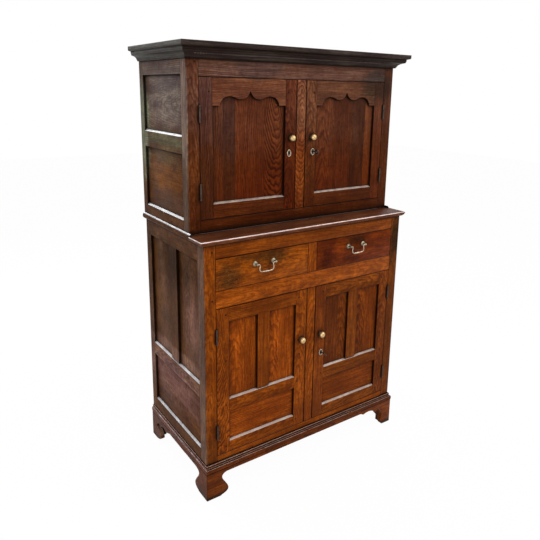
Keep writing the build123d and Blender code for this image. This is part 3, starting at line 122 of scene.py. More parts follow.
@dataclass
class Wiring:
    """Short words for adding and joining shader nodes in one tree."""

    tree: bpy.types.NodeTree

    def add(self, kind: str, **values: object) -> bpy.types.Node:
        """Adds a node and sets its properties.

        Args:
            kind: The node's type name.
            values: Properties of the node, by name.

        Returns:
            The new node.
        """
        node = self.tree.nodes.new(kind)
        for key, value in values.items():
            setattr(node, key, value)
        return node

    def join(self, source: object, target: object) -> None:
        """Feeds an input socket.

        Args:
            source: An output socket, or the value to set.
            target: The input socket.
        """
        if isinstance(source, bpy.types.NodeSocket):
            self.tree.links.new(source, target)
        else:
            target.default_value = source

    def attribute(self, name: str, output: str = "Fac") -> object:
        """Reads an attribute of the mesh."""
        return self.add("ShaderNodeAttribute", attribute_name=name).outputs[output]

    def group(self, tree: bpy.types.ShaderNodeTree, **inputs: object) -> bpy.types.Node:
        """Adds a group.

        Args:
            tree: The group's node tree.
            inputs: An output socket or a value for each input, by its label.

        Returns:
            The group's node.
        """
        node = self.add("ShaderNodeGroup", node_tree=tree)
        for label, source in inputs.items():
            self.join(source, node.inputs[label])
        return node

    def math(self, operation: str, first: object, second: object = 0.0, clamp: bool = False) -> object:
        """Adds a Math node.

        Args:
            operation: Its operation.
            first: Its first value.
            second: Its second value.
            clamp: Whether the result is kept within 0 and 1.

        Returns:
            Its output.
        """
        node = self.add("ShaderNodeMath", operation=operation, use_clamp=clamp)
        self.join(first, node.inputs[0])
        self.join(second, node.inputs[1])
        return node.outputs[0]

    def times(self, first: object, second: object, clamp: bool = False) -> object:
        """Multiplies two values."""
        return self.math("MULTIPLY", first, second, clamp)

    def plus(self, first: object, second: object) -> object:
        """Adds two values."""
        return self.math("ADD", first, second)

    def scaled(self, vector: object, factors: Triple) -> object:
        """Multiplies a vector by three factors.

        Args:
            vector: The vector's socket.
            factors: One factor for each axis.

        Returns:
            The output.
        """
        node = self.add("ShaderNodeVectorMath", operation="MULTIPLY")
        self.join(vector, node.inputs[0])
        node.inputs[1].default_value = factors
        return node.outputs[0]

    def noise(self, vector: object, scale: float, detail: float = 2.0, rough: float = 0.5) -> object:
        """Adds a Noise Texture.

        Args:
            vector: The place that it reads.
            scale: Its scale.
            detail: Its number of octaves.
            rough: The weight of the finer ones.

        Returns:
            Its value, from 0 to 1.
        """
        node = self.add("ShaderNodeTexNoise")
        self.join(vector, node.inputs["Vector"])
        node.inputs["Scale"].default_value = scale
        node.inputs["Detail"].default_value = detail
        node.inputs["Roughness"].default_value = rough
        return node.outputs[0]

    def ramp(self, value: object, low: float, high: float, start: float = 0.0, end: float = 1.0) -> object:
        """Maps a value from low..high to start..end, smoothly and clamped.

        Args:
            value: The value.
            low: The value that gives start.
            high: The value that gives end.
            start: The first result.
            end: The last result.

        Returns:
            The output.
        """
        node = self.add("ShaderNodeMapRange", interpolation_type="SMOOTHSTEP")
        self.join(value, node.inputs["Value"])
        for label, number in (("From Min", low), ("From Max", high), ("To Min", start), ("To Max", end)):
            self.join(number, node.inputs[label])
        return node.outputs["Result"]

    def mix(self, factor: object, first: object, second: object, blend: str = "MIX") -> object:
        """Mixes two colours.

        Args:
            factor: How much of the second is mixed in.
            first: The first colour.
            second: The second colour.
            blend: The blend mode.

        Returns:
            The output.
        """
        node = self.add("ShaderNodeMix", data_type="RGBA", blend_type=blend)
        self.join(factor, node.inputs[0])
        self.join(first, node.inputs[6])
        self.join(second, node.inputs[7])
        return node.outputs[2]

    def openness(self, reach: float) -> object:
        """Adds ambient occlusion.

        Args:
            reach: How far it looks, in metres.

        Returns:
            1 in the open, and less in a nook.
        """
        node = self.add("ShaderNodeAmbientOcclusion", samples=8)
        node.inputs["Distance"].default_value = reach
        return node.outputs["AO"]

    def bump(self, height: object, strength: float, distance: float, shader: bpy.types.Node) -> None:
        """Raises a shader's surface by a height map.

        Args:
            height: The height's socket.
            strength: The Bump node's strength.
            distance: The height of 1, in metres.
            shader: The shader whose Normal it feeds.
        """
        node = self.add("ShaderNodeBump")
        node.inputs["Strength"].default_value = strength
        node.inputs["Distance"].default_value = distance
        self.join(height, node.inputs["Height"])
        self.join(node.outputs[0], shader.inputs["Normal"])


def new_material(name: str) -> tuple[bpy.types.Material, Wiring, bpy.types.Node]:
    """Makes a material with nodes.

    Args:
        name: The material's name.

    Returns:
        The material, its wiring and its Principled shader.
    """
    made = bpy.data.materials.new(name)
    made.use_nodes = True
    return made, Wiring(made.node_tree), made.node_tree.nodes["Principled BSDF"]


def new_group(name: str, inputs: dict[str, str], outputs: tuple[str, ...]) -> bpy.types.ShaderNodeTree:
    """Makes an empty shader node group.

    Args:
        name: The group's name.
        inputs: The type of each input socket, by label.
        outputs: The labels of the output values.

    Returns:
        The group, with its input and output nodes named In and Out.
    """
    tree = bpy.data.node_groups.new(name, "ShaderNodeTree")
    for label, kind in inputs.items():
        tree.interface.new_socket(label, in_out="INPUT", socket_type=kind)
    for label in outputs:
        tree.interface.new_socket(label, in_out="OUTPUT", socket_type="NodeSocketFloat")
    tree.nodes.new("NodeGroupInput").name = "In"
    tree.nodes.new("NodeGroupOutput").name = "Out"
    return tree


def make_oak_figure() -> bpy.types.ShaderNodeTree:
    """Makes the group that turns a place in the log into growth rings, streaks, pores, fleck and blotches.

    The rings are the distance from the log's centre line, bent by slow noise, times the rings to a
    metre. Each ring darkens slowly and ends sharply, as summer wood does against the next spring.

    Returns:
        The shader node group.
    """
    inputs = {"Log": "NodeSocketVector", "Rings": "NodeSocketFloat"}
    tree = new_group("oak_figure", inputs, ("Rings", "Pores", "Fleck", "Blotch", "Streak"))
    w = Wiring(tree)
    log = tree.nodes["In"].outputs["Log"]
    split = w.add("ShaderNodeSeparateXYZ")
    w.join(log, split.inputs[0])
    _, across, deep = split.outputs
    sway = w.math("SUBTRACT", w.noise(w.scaled(log, (2.2, 9.0, 9.0)), 1.0, 2.0), 0.5)
    wave = w.math("SUBTRACT", w.noise(w.scaled(log, (14.0, 34.0, 34.0)), 1.0, 2.0), 0.5)
    bent = w.plus(across, w.times(sway, 0.05))
    bent = w.plus(bent, w.times(wave, 0.008))
    leaning = w.plus(deep, w.times(wave, 0.018))
    radius = w.math("SQRT", w.plus(w.times(bent, bent), w.times(leaning, leaning)))
    turns = w.times(radius, tree.nodes["In"].outputs["Rings"])
    year = w.math("FRACT", turns)
    summer_wood = w.ramp(year, 0.25, 0.80)
    spring_wood = w.ramp(year, 0.92, 1.0, 1.0, 0.0)
    strength = w.ramp(w.noise(w.scaled(log, (3.0, 16.0, 16.0)), 1.0, 1.0), 0.3, 0.7, 0.55, 1.0)
    rings = w.times(w.times(summer_wood, spring_wood), strength)
    fine = w.noise(w.scaled(log, (30.0, 1300.0, 1300.0)), 1.0, 1.0)
    dashes = w.ramp(fine, 0.50, 0.66)
    pores = w.times(dashes, w.ramp(rings, 0.0, 1.0, 0.35, 1.0))
    rays = w.noise(w.scaled(log, (110.0, 380.0, 90.0)), 1.0, 1.0)
    blotch = w.noise(w.scaled(log, (5.0, 17.0, 17.0)), 1.0, 3.0)
    streak = w.noise(w.scaled(log, (5.0, 110.0, 110.0)), 1.0, 5.0, 0.75)
    results = {
        "Rings": rings,
        "Pores": pores,
        "Fleck": w.ramp(rays, 0.56, 0.74),
        "Blotch": w.ramp(blotch, 0.33, 0.67),
        "Streak": w.ramp(streak, 0.38, 0.62),
    }
    for label, value in results.items():
        w.join(value, tree.nodes["Out"].inputs[label])
    return tree


def make_patina() -> bpy.types.ShaderNodeTree:
    """Makes the group of old wax: slow stains, fine dents and hand marks, from a place on the piece.

    Returns:
        The shader node group.
    """
    tree = new_group("patina", {"Place": "NodeSocketVector"}, ("Stain", "Grime", "Dents", "Rub"))
    w = Wiring(tree)
    for label, scale, detail, rough, low, high in (
        ("Stain", 7.0, 4.0, 0.60, 0.36, 0.66),
        ("Grime", 60.0, 3.0, 0.65, 0.40, 0.72),
        ("Dents", 120.0, 2.0, 0.50, 0.60, 0.74),
        ("Rub", 26.0, 3.0, 0.65, 0.35, 0.70),
    ):
        mark = w.noise(tree.nodes["In"].outputs["Place"], scale, detail, rough)
        w.join(w.ramp(mark, low, high), tree.nodes["Out"].inputs[label])
    return tree


# ---------------------------------------------------------------------------------------
# Finishes
# ---------------------------------------------------------------------------------------


LIGHT_GAIN = (2.25, 2.35, 2.15)
DARK_GAIN = (0.40, 0.32, 0.42)
PORE_GAIN = (0.35,) * 3
FLECK_GAIN = (1.35,) * 3
STAIN_SHARE = 0.38
NOOK_REACH = 30.0 * MILLIMETRE
# The near-black of arrises dark with wax, and of the painted shade in the gaps between parts.
GAP_SHADE_AND_WAX_COLOUR = (0.004, 0.002, 0.0015)
# The near-black brown of the painted shade that falls in nooks.
NOOK_SHADE_COLOUR = (0.006, 0.003, 0.002)
WARM_SHEEN = (1.0, 0.60, 0.35)


@dataclass(frozen=True)
class Patch:
    """A worn, smoky or faded patch on the wood, or a painted sheen or reflection, round a place in metres."""

    centre: Triple
    reach: Triple
    strength: float
    colour: Triple
    fade: float = 0.75


@dataclass(frozen=True)
class OakFinish:
    """One waxed oak: its middle colour, its figure, its pores, its painted shade in nooks, its rubbing and painted
    highlights, and its gloss.
    """

    name: str
    slot: str
    body: Triple
    ring_contrast: float = 0.92
    rings: float = 170.0
    streaks: float = 0.65
    pores: float = 0.60
    fleck: float = 0.15
    mottle: float = 0.50
    grime: float = 0.45
    # How strongly nooks are darkened, as painted shade.
    nook_shade: float = 0.92
    # The pale colour of rubbing on chamfers, arrises and upward slopes, which is also a painted highlight.
    rub_and_highlight_colour: Triple = (0.46, 0.36, 0.31)
    # The same for faces turned to the sides, where it is also a painted reflection.
    sideways_rub_and_highlight: Triple | None = None
    roughness: float = 0.42
    specular: float = 0.05
    # How strongly upward slopes, in the normal's z range of slant, take the rubbing and painted highlight.
    slope_rub_and_highlight: float = 0.8
    slant: tuple[float, float, float, float] = (0.45, 0.65, 0.80, 0.93)
    patches: tuple[Patch, ...] = ()

    def material(self, figure: bpy.types.ShaderNodeTree, patina: bpy.types.ShaderNodeTree) -> bpy.types.Material:
        """Builds the material.

        Args:
            figure: The oak_figure group.
            patina: The patina group.

        Returns:
            The material, with the Principled shader in it.
        """
        made, w, shader = new_material(self.name)
        edge = w.attribute("worn")
        place = w.add("ShaderNodeTexCoord").outputs["Object"]
        oak = w.group(figure, Log=w.attribute("log", "Vector"), Rings=self.rings).outputs
        wax = w.group(patina, Place=place).outputs
        colour = w.mix(1.0, self._wood(w, oak, wax, place), w.attribute("tone", "Vector"), "MULTIPLY")

        # Rubbing and painted highlight: chamfers, arrises worn above 0 and upward slopes lighten towards a pale
        # colour, with another one on faces turned to the sides.
        facing = w.add("ShaderNodeSeparateXYZ")
        w.join(w.add("ShaderNodeNewGeometry").outputs["Normal"], facing.inputs[0])
        rising = w.ramp(facing.outputs["Z"], *self.slant[:2])
        slanting = w.times(rising, w.ramp(facing.outputs["Z"], *self.slant[2:], 1.0, 0.0))
        worn = w.math("MAXIMUM", w.math("MAXIMUM", edge, 0.0), w.times(slanting, self.slope_rub_and_highlight))
        sideways = w.ramp(w.math("ABSOLUTE", facing.outputs["X"]), 0.25, 0.45)
        rub_and_highlight_colour = w.mix(sideways, rgba(self.rub_and_highlight_colour), rgba(self.sideways_rub_and_highlight or self.rub_and_highlight_colour))
        colour = w.mix(w.times(worn, w.ramp(wax["Rub"], 0.0, 1.0, 0.55, 0.92)), colour, rub_and_highlight_colour)

        openness = w.openness(NOOK_REACH)
        # Arrises worn below 0 darken a little everywhere as dark wax, and strongly where ambient occlusion finds a
        # gap between parts, as painted shade.
        gap_shade_and_wax = w.times(w.times(edge, -1.0, clamp=True), w.ramp(openness, 0.92, 0.995, 0.97, 0.25))
        colour = w.mix(gap_shade_and_wax, colour, rgba(GAP_SHADE_AND_WAX_COLOUR))
        # Painted shade: the colour darkens towards near-black brown where ambient occlusion finds a nook.
        shade_in_nooks_mask = w.ramp(openness, 0.60, 1.0, self.nook_shade, 0.0)
        w.join(w.mix(shade_in_nooks_mask, colour, rgba(NOOK_SHADE_COLOUR)), shader.inputs["Base Color"])

        rough = w.plus(self.roughness, w.times(oak["Pores"], 0.15))
        rough = w.math("SUBTRACT", rough, w.times(wax["Rub"], 0.08))
        w.join(w.math("SUBTRACT", rough, w.times(worn, 0.16), clamp=True), shader.inputs["Roughness"])
        polish = w.times(w.times(worn, 0.5), w.math("SUBTRACT", 1.0, shade_in_nooks_mask), clamp=True)
        w.join(polish, shader.inputs["Coat Weight"])
        shader.inputs["Coat Roughness"].default_value = 0.2
        shader.inputs["Specular IOR Level"].default_value = self.specular
        shader.inputs["Specular Tint"].default_value = rgba(WARM_SHEEN)

        height = w.plus(w.times(oak["Pores"], -1.0), w.times(oak["Rings"], -0.25))
        w.bump(w.plus(height, w.times(wax["Dents"], -0.5)), 0.35, 0.6 * MILLIMETRE, shader)
        return made

    def _wood(self, w: Wiring, oak: object, wax: object, place: object) -> object:
        """Lays rings, streaks, blotches, pores, fleck and stains over the wood's light colour.

        Args:
            w: The wiring of the material's tree.
            oak: The outputs of the oak_figure group.
            wax: The outputs of the patina group.
            place: The Object coordinates.

        Returns:
            The colour's socket.
        """
        first_light, first_dark = rgba(self.body, LIGHT_GAIN), rgba(self.body, DARK_GAIN)
        light, dark = first_light, first_dark
        # Patches recolour the wood in places, some as tint and some as a painted sheen and painted reflections.
        for patch in self.patches:
            mask = self._patch_mask(w, place, wax["Rub"], patch)
            light = w.mix(mask, light, rgba(patch.colour, LIGHT_GAIN))
            dark = w.mix(mask, dark, rgba(patch.colour, DARK_GAIN))
        colour = light
        for mask, share, over in (
            (w.times(oak["Rings"], w.attribute("figure")), self.ring_contrast, dark),
            (oak["Streak"], self.streaks, dark),
            (oak["Blotch"], self.mottle, dark),
            (oak["Pores"], self.pores, rgba(first_dark[:3], PORE_GAIN)),
            (oak["Fleck"], self.fleck, rgba(first_light[:3], FLECK_GAIN)),
            (wax["Stain"], STAIN_SHARE, dark),
            (wax["Grime"], self.grime, dark),
        ):
            colour = w.mix(w.times(mask, share, clamp=True), colour, over)
        return colour

    def _patch_mask(self, w: Wiring, place: object, rub: object, patch: Patch) -> object:
        """Makes the mask of one patch, an oval with a frayed edge.

        Args:
            w: The wiring of the material's tree.
            place: The Object coordinates.
            rub: The uneven mask that frays the edge.
            patch: The patch.

        Returns:
            The mask's socket.
        """
        offset = w.add("ShaderNodeVectorMath", operation="SUBTRACT")
        w.join(place, offset.inputs[0])
        offset.inputs[1].default_value = patch.centre
        shaped = w.scaled(offset.outputs[0], tuple(1.0 / reach for reach in patch.reach))
        length = w.add("ShaderNodeVectorMath", operation="LENGTH")
        w.join(shaped, length.inputs[0])
        frayed = w.plus(length.outputs["Value"], w.times(rub, 0.45 * patch.fade))
        return w.ramp(frayed, 1.05 - patch.fade, 1.0 + 0.33 * patch.fade, patch.strength, 0.0)


@dataclass(frozen=True)
class MetalFinish:
    """A metal with tarnish in its hollows and a surface worn smooth."""

    name: str
    slot: str
    colour: Triple
    tarnish: Triple
    tarnish_share: float
    roughness: float

    def material(self) -> bpy.types.Material:
        """Builds the material.

        Returns:
            The material.
        """
        made, w, shader = new_material(self.name)
        place = w.add("ShaderNodeTexCoord").outputs["Object"]
        spots = w.ramp(w.noise(place, 160.0, 3.0, 0.6), 0.42, 0.68, 0.0, self.tarnish_share)
        dull = w.math("MAXIMUM", spots, w.ramp(w.openness(6.0 * MILLIMETRE), 0.35, 0.9, 0.9, 0.0))
        w.join(w.mix(dull, rgba(self.colour), rgba(self.tarnish)), shader.inputs["Base Color"])
        w.join(w.ramp(dull, 0.0, 1.0, 1.0, 0.55), shader.inputs["Metallic"])
        w.join(w.plus(self.roughness, w.times(dull, 0.30)), shader.inputs["Roughness"])
        w.bump(w.noise(place, 420.0, 2.0), 0.2, 0.3 * MILLIMETRE, shader)
        return made


DRAWER_PATCHES = (
    Patch((-0.210, -0.26, 1.010), (0.120, 0.05, 0.045), 0.80, (0.030, 0.014, 0.003)),
    Patch((0.2475, -0.26, 1.015), (0.100, 0.05, 0.040), 0.90, (0.022, 0.009, 0.002)),
    Patch((-0.410, -0.26, 0.950), (0.075, 0.05, 0.090), 0.85, (0.050, 0.019, 0.004)),
    Patch((-0.330, -0.26, 1.020), (0.080, 0.05, 0.020), 0.60, (0.050, 0.018, 0.003)),
    Patch((-0.280, -0.26, 0.955), (0.070, 0.05, 0.030), 0.60, (0.320, 0.075, 0.005)),
    Patch((0.085, -0.26, 0.960), (0.055, 0.05, 0.120), 0.80, (0.055, 0.008, 0.001)),
    Patch((0.240, -0.26, 0.930), (0.150, 0.05, 0.020), 0.60, (0.060, 0.010, 0.001)),
    Patch((0.430, -0.26, 0.980), (0.090, 0.05, 0.100), 0.60, (0.090, 0.018, 0.001)),
)
# On the sides, the pale grey and greenish patches are a painted sheen and painted reflections; the others tint the
# wood in places.
SIDE_SHEEN_AND_TONE_PATCHES = (
    Patch((0.0, 0.00, 1.640), (4.0, 0.50, 0.210), 0.85, (0.134, 0.108, 0.095)),
    Patch((0.0, 0.08, 1.465), (4.0, 0.50, 0.050), 0.80, (0.100, 0.096, 0.050)),
    Patch((0.0, 0.05, 1.400), (4.0, 0.20, 0.050), 0.75, (0.130, 0.082, 0.036)),
    Patch((0.0, 0.04, 1.290), (4.0, 0.17, 0.085), 0.90, (0.120, 0.035, 0.001)),
    Patch((0.0, 0.270, 1.500), (4.0, 0.060, 0.260), 0.90, (0.165, 0.175, 0.115), 0.5),
    Patch((0.0, 0.05, 0.400), (4.0, 0.40, 0.150), 0.90, (0.205, 0.105, 0.088)),
    Patch((0.0, 0.00, 0.531), (4.0, 0.40, 0.045), 0.90, (0.170, 0.085, 0.056), 0.4),
    Patch((0.0, -0.15, 0.740), (4.0, 0.12, 0.200), 0.65, (0.170, 0.078, 0.056)),
    Patch((0.0, 0.05, 0.960), (4.0, 0.35, 0.130), 0.90, (0.034, 0.012, 0.002)),
    Patch((0.0, 0.25, 0.900), (4.0, 0.12, 0.300), 0.60, (0.050, 0.017, 0.003)),
)
# The first two patches are a painted sheen that pales and greys the upper case towards its top and leaves it darker
# and warmer towards its bottom; the pale one on the left post's side face is painted sheen too; the others tint the
# wood in places.
UPPER_SHEEN_AND_TONE_PATCHES = (
    Patch((0.0, -0.15, 1.640), (1.60, 0.40, 0.240), 0.50, (0.120, 0.054, 0.034)),
    Patch((0.0, -0.15, 1.180), (1.60, 0.40, 0.150), 0.55, (0.062, 0.011, 0.0020)),
    Patch((0.0, -0.15, 1.600), (0.045, 0.40, 0.120), 0.80, (0.103, 0.042, 0.021), 0.5),
    Patch((0.0, -0.15, 1.300), (0.045, 0.40, 0.180), 0.70, (0.103, 0.026, 0.0045), 0.5),
    Patch((-0.330, -0.15, 1.725), (0.170, 0.05, 0.045), 0.50, (0.120, 0.048, 0.026)),
    Patch((-0.215, -0.15, 1.790), (0.125, 0.05, 0.100), 0.75, (0.062, 0.026, 0.016), 0.12),
    Patch((0.430, -0.15, 1.690), (0.120, 0.05, 0.100), 0.90, (0.030, 0.016, 0.010), 0.5),
    Patch((-0.475, -0.15, 1.280), (0.030, 0.05, 0.180), 0.50, (0.052, 0.013, 0.0030)),
    Patch((-0.532, -0.12, 1.250), (0.010, 0.30, 0.400), 0.90, (0.085, 0.045, 0.024), 0.5),
    Patch((0.532, -0.12, 1.400), (0.010, 0.30, 1.000), 0.90, (0.085, 0.045, 0.024), 0.5),
    Patch((-0.530, -0.12, 1.580), (0.010, 0.30, 0.240), 0.90, (0.190, 0.125, 0.085), 0.5),
)
# A painted sheen: the upper doors' panels pale and grey towards their top and darken and warm towards their bottom.
UPPER_PANEL_SHEEN_PATCHES = (
    Patch((0.0, -0.15, 1.560), (1.60, 0.40, 0.200), 0.35, (0.088, 0.036, 0.020)),
    Patch((0.0, -0.15, 1.180), (1.60, 0.40, 0.240), 0.65, (0.062, 0.0085, 0.0012)),
)
LOWER_PATCHES = (
    Patch((-0.520, -0.26, 0.180), (0.080, 0.10, 0.240), 0.80, (0.075, 0.020, 0.0030)),
    Patch((0.500, -0.26, 0.980), (0.055, 0.10, 0.180), 0.95, (0.034, 0.012, 0.0020)),
    Patch((0.120, -0.26, 0.760), (0.060, 0.10, 0.060), 0.40, (0.230, 0.045, 0.0040)),
    Patch((-0.526, -0.22, 0.600), (0.010, 1.00, 2.000), 0.95, (0.100, 0.052, 0.032), 0.5),
    Patch((0.526, -0.22, 0.600), (0.010, 1.00, 2.000), 0.95, (0.100, 0.052, 0.032), 0.5),
)

# The near-white colours of rubbing on the side, on the ledge and on the plinth's ends are mostly painted highlights
# and painted reflections.
OAKS = {
    "cornice": OakFinish("oak_cornice", "oak_cornice", (0.031, 0.022, 0.019), ring_contrast=0.3,
                         rub_and_highlight_colour=(0.080, 0.050, 0.040), roughness=0.40),
    "upper": OakFinish("oak_upper", "oak_upper", (0.082, 0.0200, 0.0045), patches=UPPER_SHEEN_AND_TONE_PATCHES),
    "upper_panel": OakFinish("oak_upper_panel", "oak_upper", (0.066, 0.0135, 0.0026), ring_contrast=1.0,
                             rings=140.0, streaks=0.45, mottle=0.30, patches=UPPER_PANEL_SHEEN_PATCHES),
    "lower": OakFinish("oak_lower", "oak_lower", (0.176, 0.0385, 0.0026), patches=LOWER_PATCHES),
    "lower_panel": OakFinish("oak_lower_panel", "oak_lower", (0.214, 0.0430, 0.0026), rings=150.0),
    "drawer": OakFinish("oak_drawer", "oak_lower", (0.170, 0.0380, 0.0020), ring_contrast=0.55, fleck=0.3, mottle=0.7,
                        patches=DRAWER_PATCHES),
    "side": OakFinish("oak_side", "oak_side", (0.086, 0.0340, 0.0130), streaks=0.45, pores=0.4, mottle=0.6, grime=0.5,
                      rub_and_highlight_colour=(0.86, 0.87, 0.92), roughness=0.38, specular=0.015, patches=SIDE_SHEEN_AND_TONE_PATCHES),
    "ledge": OakFinish("oak_ledge", "oak_upper", (0.105, 0.0340, 0.0140), rub_and_highlight_colour=(0.90, 0.72, 0.68), nook_shade=0.75,
                       sideways_rub_and_highlight=(1.0, 0.98, 1.0),
                       slope_rub_and_highlight=1.0, slant=(0.20, 0.40, 0.96, 0.985)),
    "plinth": OakFinish("oak_plinth", "oak_lower", (0.088, 0.0195, 0.0032), rub_and_highlight_colour=(0.26, 0.165, 0.125),
                        sideways_rub_and_highlight=(0.95, 0.80, 0.80), slope_rub_and_highlight=1.0),
    "peg": OakFinish("oak_peg", "oak_upper", (0.030, 0.010, 0.005), nook_shade=0.6),
    "stud": OakFinish("worn_stud", "oak_cornice", (0.30, 0.24, 0.22), mottle=0.2, grime=0.1, nook_shade=0.0),
    "inside": OakFinish("oak_inside", "oak_inside", (0.190, 0.105, 0.050), roughness=0.7),
}
METALS = {
    "brass": MetalFinish("old_brass", "brass", (0.64, 0.44, 0.21), (0.12, 0.075, 0.030), 0.40, 0.40),
    "pale_brass": MetalFinish("pale_brass", "brass", (0.52, 0.42, 0.31), (0.08, 0.060, 0.038), 0.60, 0.33),
    "dull_brass": MetalFinish("dull_brass", "brass", (0.34, 0.29, 0.20), (0.06, 0.045, 0.028), 0.75, 0.38),
    # Dark brass: the keyhole plates, and the knobs' roses, where its darkness is also a painted shade under the
    # heads.
    "dark_brass": MetalFinish("dark_brass", "brass", (0.085, 0.065, 0.045), (0.03, 0.022, 0.015), 0.70, 0.50),
    "steel": MetalFinish("worn_iron", "iron", (0.080, 0.052, 0.038), (0.022, 0.012, 0.008), 0.90, 0.52),
}


# ---------------------------------------------------------------------------------------
# Meshes
# ---------------------------------------------------------------------------------------


@dataclass
class Sheet:
    """A surface given as points on a grid of two parameters, and turned into a mesh."""

    points: Array
    closed_u: bool = False
    closed_v: bool = False

    def faces(self) -> Array:
        """Finds the four corners of each cell of the grid, wrapped where it is closed.

        Returns:
            Their indices, four to a cell.
        """
        rows, columns = self.points.shape[:2]
        index = np.arange(rows * columns).reshape(rows, columns)
        if self.closed_u:
            index = np.vstack([index, index[:1]])
        if self.closed_v:
            index = np.hstack([index, index[:, :1]])
        corners = (index[:-1, :-1], index[1:, :-1], index[1:, 1:], index[:-1, 1:])
        return np.stack([corner.ravel() for corner in corners], axis=1)


def new_mesh(name: str, points: Array, faces: Array) -> bpy.types.Mesh:
    """Makes a mesh.

    Args:
        name: The mesh's name.
        points: The places of its vertices.
        faces: The indices of each face's corners.

    Returns:
        The mesh, which no object uses yet.
    """
    mesh = bpy.data.meshes.new(name)
    mesh.from_pydata(points.tolist(), [], faces.tolist())
    return mesh


def placed(name: str, mesh: bpy.types.Mesh) -> bpy.types.Object:
    """Puts a mesh into the scene at the origin.

    Args:
        name: The object's name.
        mesh: Its mesh.

    Returns:
        The new object.
    """
    piece = bpy.data.objects.new(name, mesh)
    bpy.context.scene.collection.objects.link(piece)
    return piece


def vertices_of(mesh: bpy.types.Mesh) -> Array:
    """Reads the vertices of a mesh.

    Args:
        mesh: The mesh.

    Returns:
        Their places, three coordinates each.
    """
    values = np.empty(len(mesh.vertices) * 3, np.float32)
    mesh.vertices.foreach_get("co", values)
    return values.reshape(-1, 3).astype(float)


def mesh_object(name: str, sheets: list[Sheet]) -> bpy.types.Object:
    """Joins sheets into one mesh object at the origin, with its faces pointing outwards.

    Args:
        name: The piece's name.
        sheets: The surfaces.

    Returns:
        The object, linked to the scene.
    """
    points = np.vstack([sheet.points.reshape(-1, 3) for sheet in sheets])
    starts = np.cumsum([0] + [sheet.points.shape[0] * sheet.points.shape[1] for sheet in sheets])
    faces = np.vstack([sheet.faces() + start for sheet, start in zip(sheets, starts)])
    mesh = new_mesh(name, points, faces)
    work = bmesh.new()
    work.from_mesh(mesh)
    bmesh.ops.remove_doubles(work, verts=work.verts, dist=1e-6)
    bmesh.ops.dissolve_degenerate(work, edges=work.edges, dist=1e-7)
    bmesh.ops.recalc_face_normals(work, faces=work.faces)
    work.to_mesh(mesh)
    work.free()
    mesh.polygons.foreach_set("use_smooth", np.ones(len(mesh.polygons), bool))
    mesh.set_sharp_from_angle(angle=SMOOTH_ANGLE)
    return placed(name, mesh)


def turned(profile: Array, centre: Array, segments: int = 32, hollow: bool = False) -> Sheet:
    """Turns a profile of (radius, distance outwards from the face) about an axis that points to the front.

    A point is centre + radius * (cos(angle) to the right + sin(angle) upwards) + distance to the front.

    Args:
        profile: The radii and distances, in metres. Its ends have radius 0 unless it is hollow.
        centre: The axis's point on the face.
        segments: The steps round the axis.
        hollow: Whether the profile's last point joins its first, as a ring's does.

    Returns:
        The surface.
    """
    angle = np.linspace(0.0, 2.0 * math.pi, segments, endpoint=False)
    ring = np.stack([np.cos(angle), np.zeros(segments), np.sin(angle)], axis=1)
    outward = np.array([0.0, -1.0, 0.0])
    points = centre + profile[None, :, 1, None] * outward + profile[None, :, 0, None] * ring[:, None, :]
    return Sheet(points, closed_u=True, closed_v=hollow)


def bent_path(moves: tuple[tuple[float, float], ...], steps: int = 12) -> Array:
    """Follows straight runs and tangent arcs in a plane from (0, 0), at first to the right.

    An arc's point is its start + sign * radius * (sin(heading + angle) - sin(heading),
    cos(heading) - cos(heading + angle)), with the sign of its turn.

    Args:
        moves: Each move's length and 0, or its radius and the degrees that it turns to the left.
        steps: The points on each move.

    Returns:
        The points of the path, two coordinates each.
    """
    place, heading, runs = np.zeros(2), 0.0, [np.zeros((1, 2))]
    for reach, turn in moves:
        share = np.linspace(0.0, 1.0, steps + 1)[1:, None]
        if turn:
            angle = heading + math.radians(turn) * share[:, 0]
            arc = np.stack([np.sin(angle) - math.sin(heading), math.cos(heading) - np.cos(angle)], axis=1)
            run = place + math.copysign(reach, turn) * arc
        else:
            run = place + reach * share * np.array([math.cos(heading), math.sin(heading)])
        place, heading = run[-1], heading + math.radians(turn)
        runs.append(run)
    return np.vstack(runs)


def swept(path: Array, radii: Array, binormal: Array, segments: int = 14) -> Sheet:
    """Carries a circle of changing radius along a flat path, and closes both ends to a point.

    A point is path + radius * (normal * cos(angle) + binormal * sin(angle)), where the normal is
    the cross product of the binormal and the path's direction.

    Args:
        path: The points of the path, in metres.
        radii: The radius at each point.
        binormal: The direction square to the path's plane.
        segments: The steps round the path.

    Returns:
        The surface.
    """
    tangent = np.gradient(path, axis=0)
    tangent /= np.linalg.norm(tangent, axis=1)[:, None]
    normal = np.cross(binormal, tangent)
    ends = np.concatenate([[0.0], radii, [0.0]])
    line = np.vstack([path[:1], path, path[-1:]])
    normal = np.vstack([normal[:1], normal, normal[-1:]])
    angle = np.linspace(0.0, 2.0 * math.pi, segments, endpoint=False)
    across = np.cos(angle)[None, :, None] * normal[:, None, :] + np.sin(angle)[None, :, None] * binormal
    return Sheet(line[:, None, :] + ends[:, None, None] * across, closed_v=True)


def joined_labels(count: int, pairs: Array) -> Array:
    """Numbers the groups that pairs of items join, each by the lowest item in it.

    Args:
        count: The number of items.
        pairs: The joined items, two in a row.

    Returns:
        The group of each item.
    """
    label = np.arange(count)
    while True:
        before = label.copy()
        lowest = np.minimum(label[pairs[:, 0]], label[pairs[:, 1]])
        np.minimum.at(label, pairs[:, 0], lowest)
        np.minimum.at(label, pairs[:, 1], lowest)
        label = label[label]
        if np.array_equal(before, label):
            return label


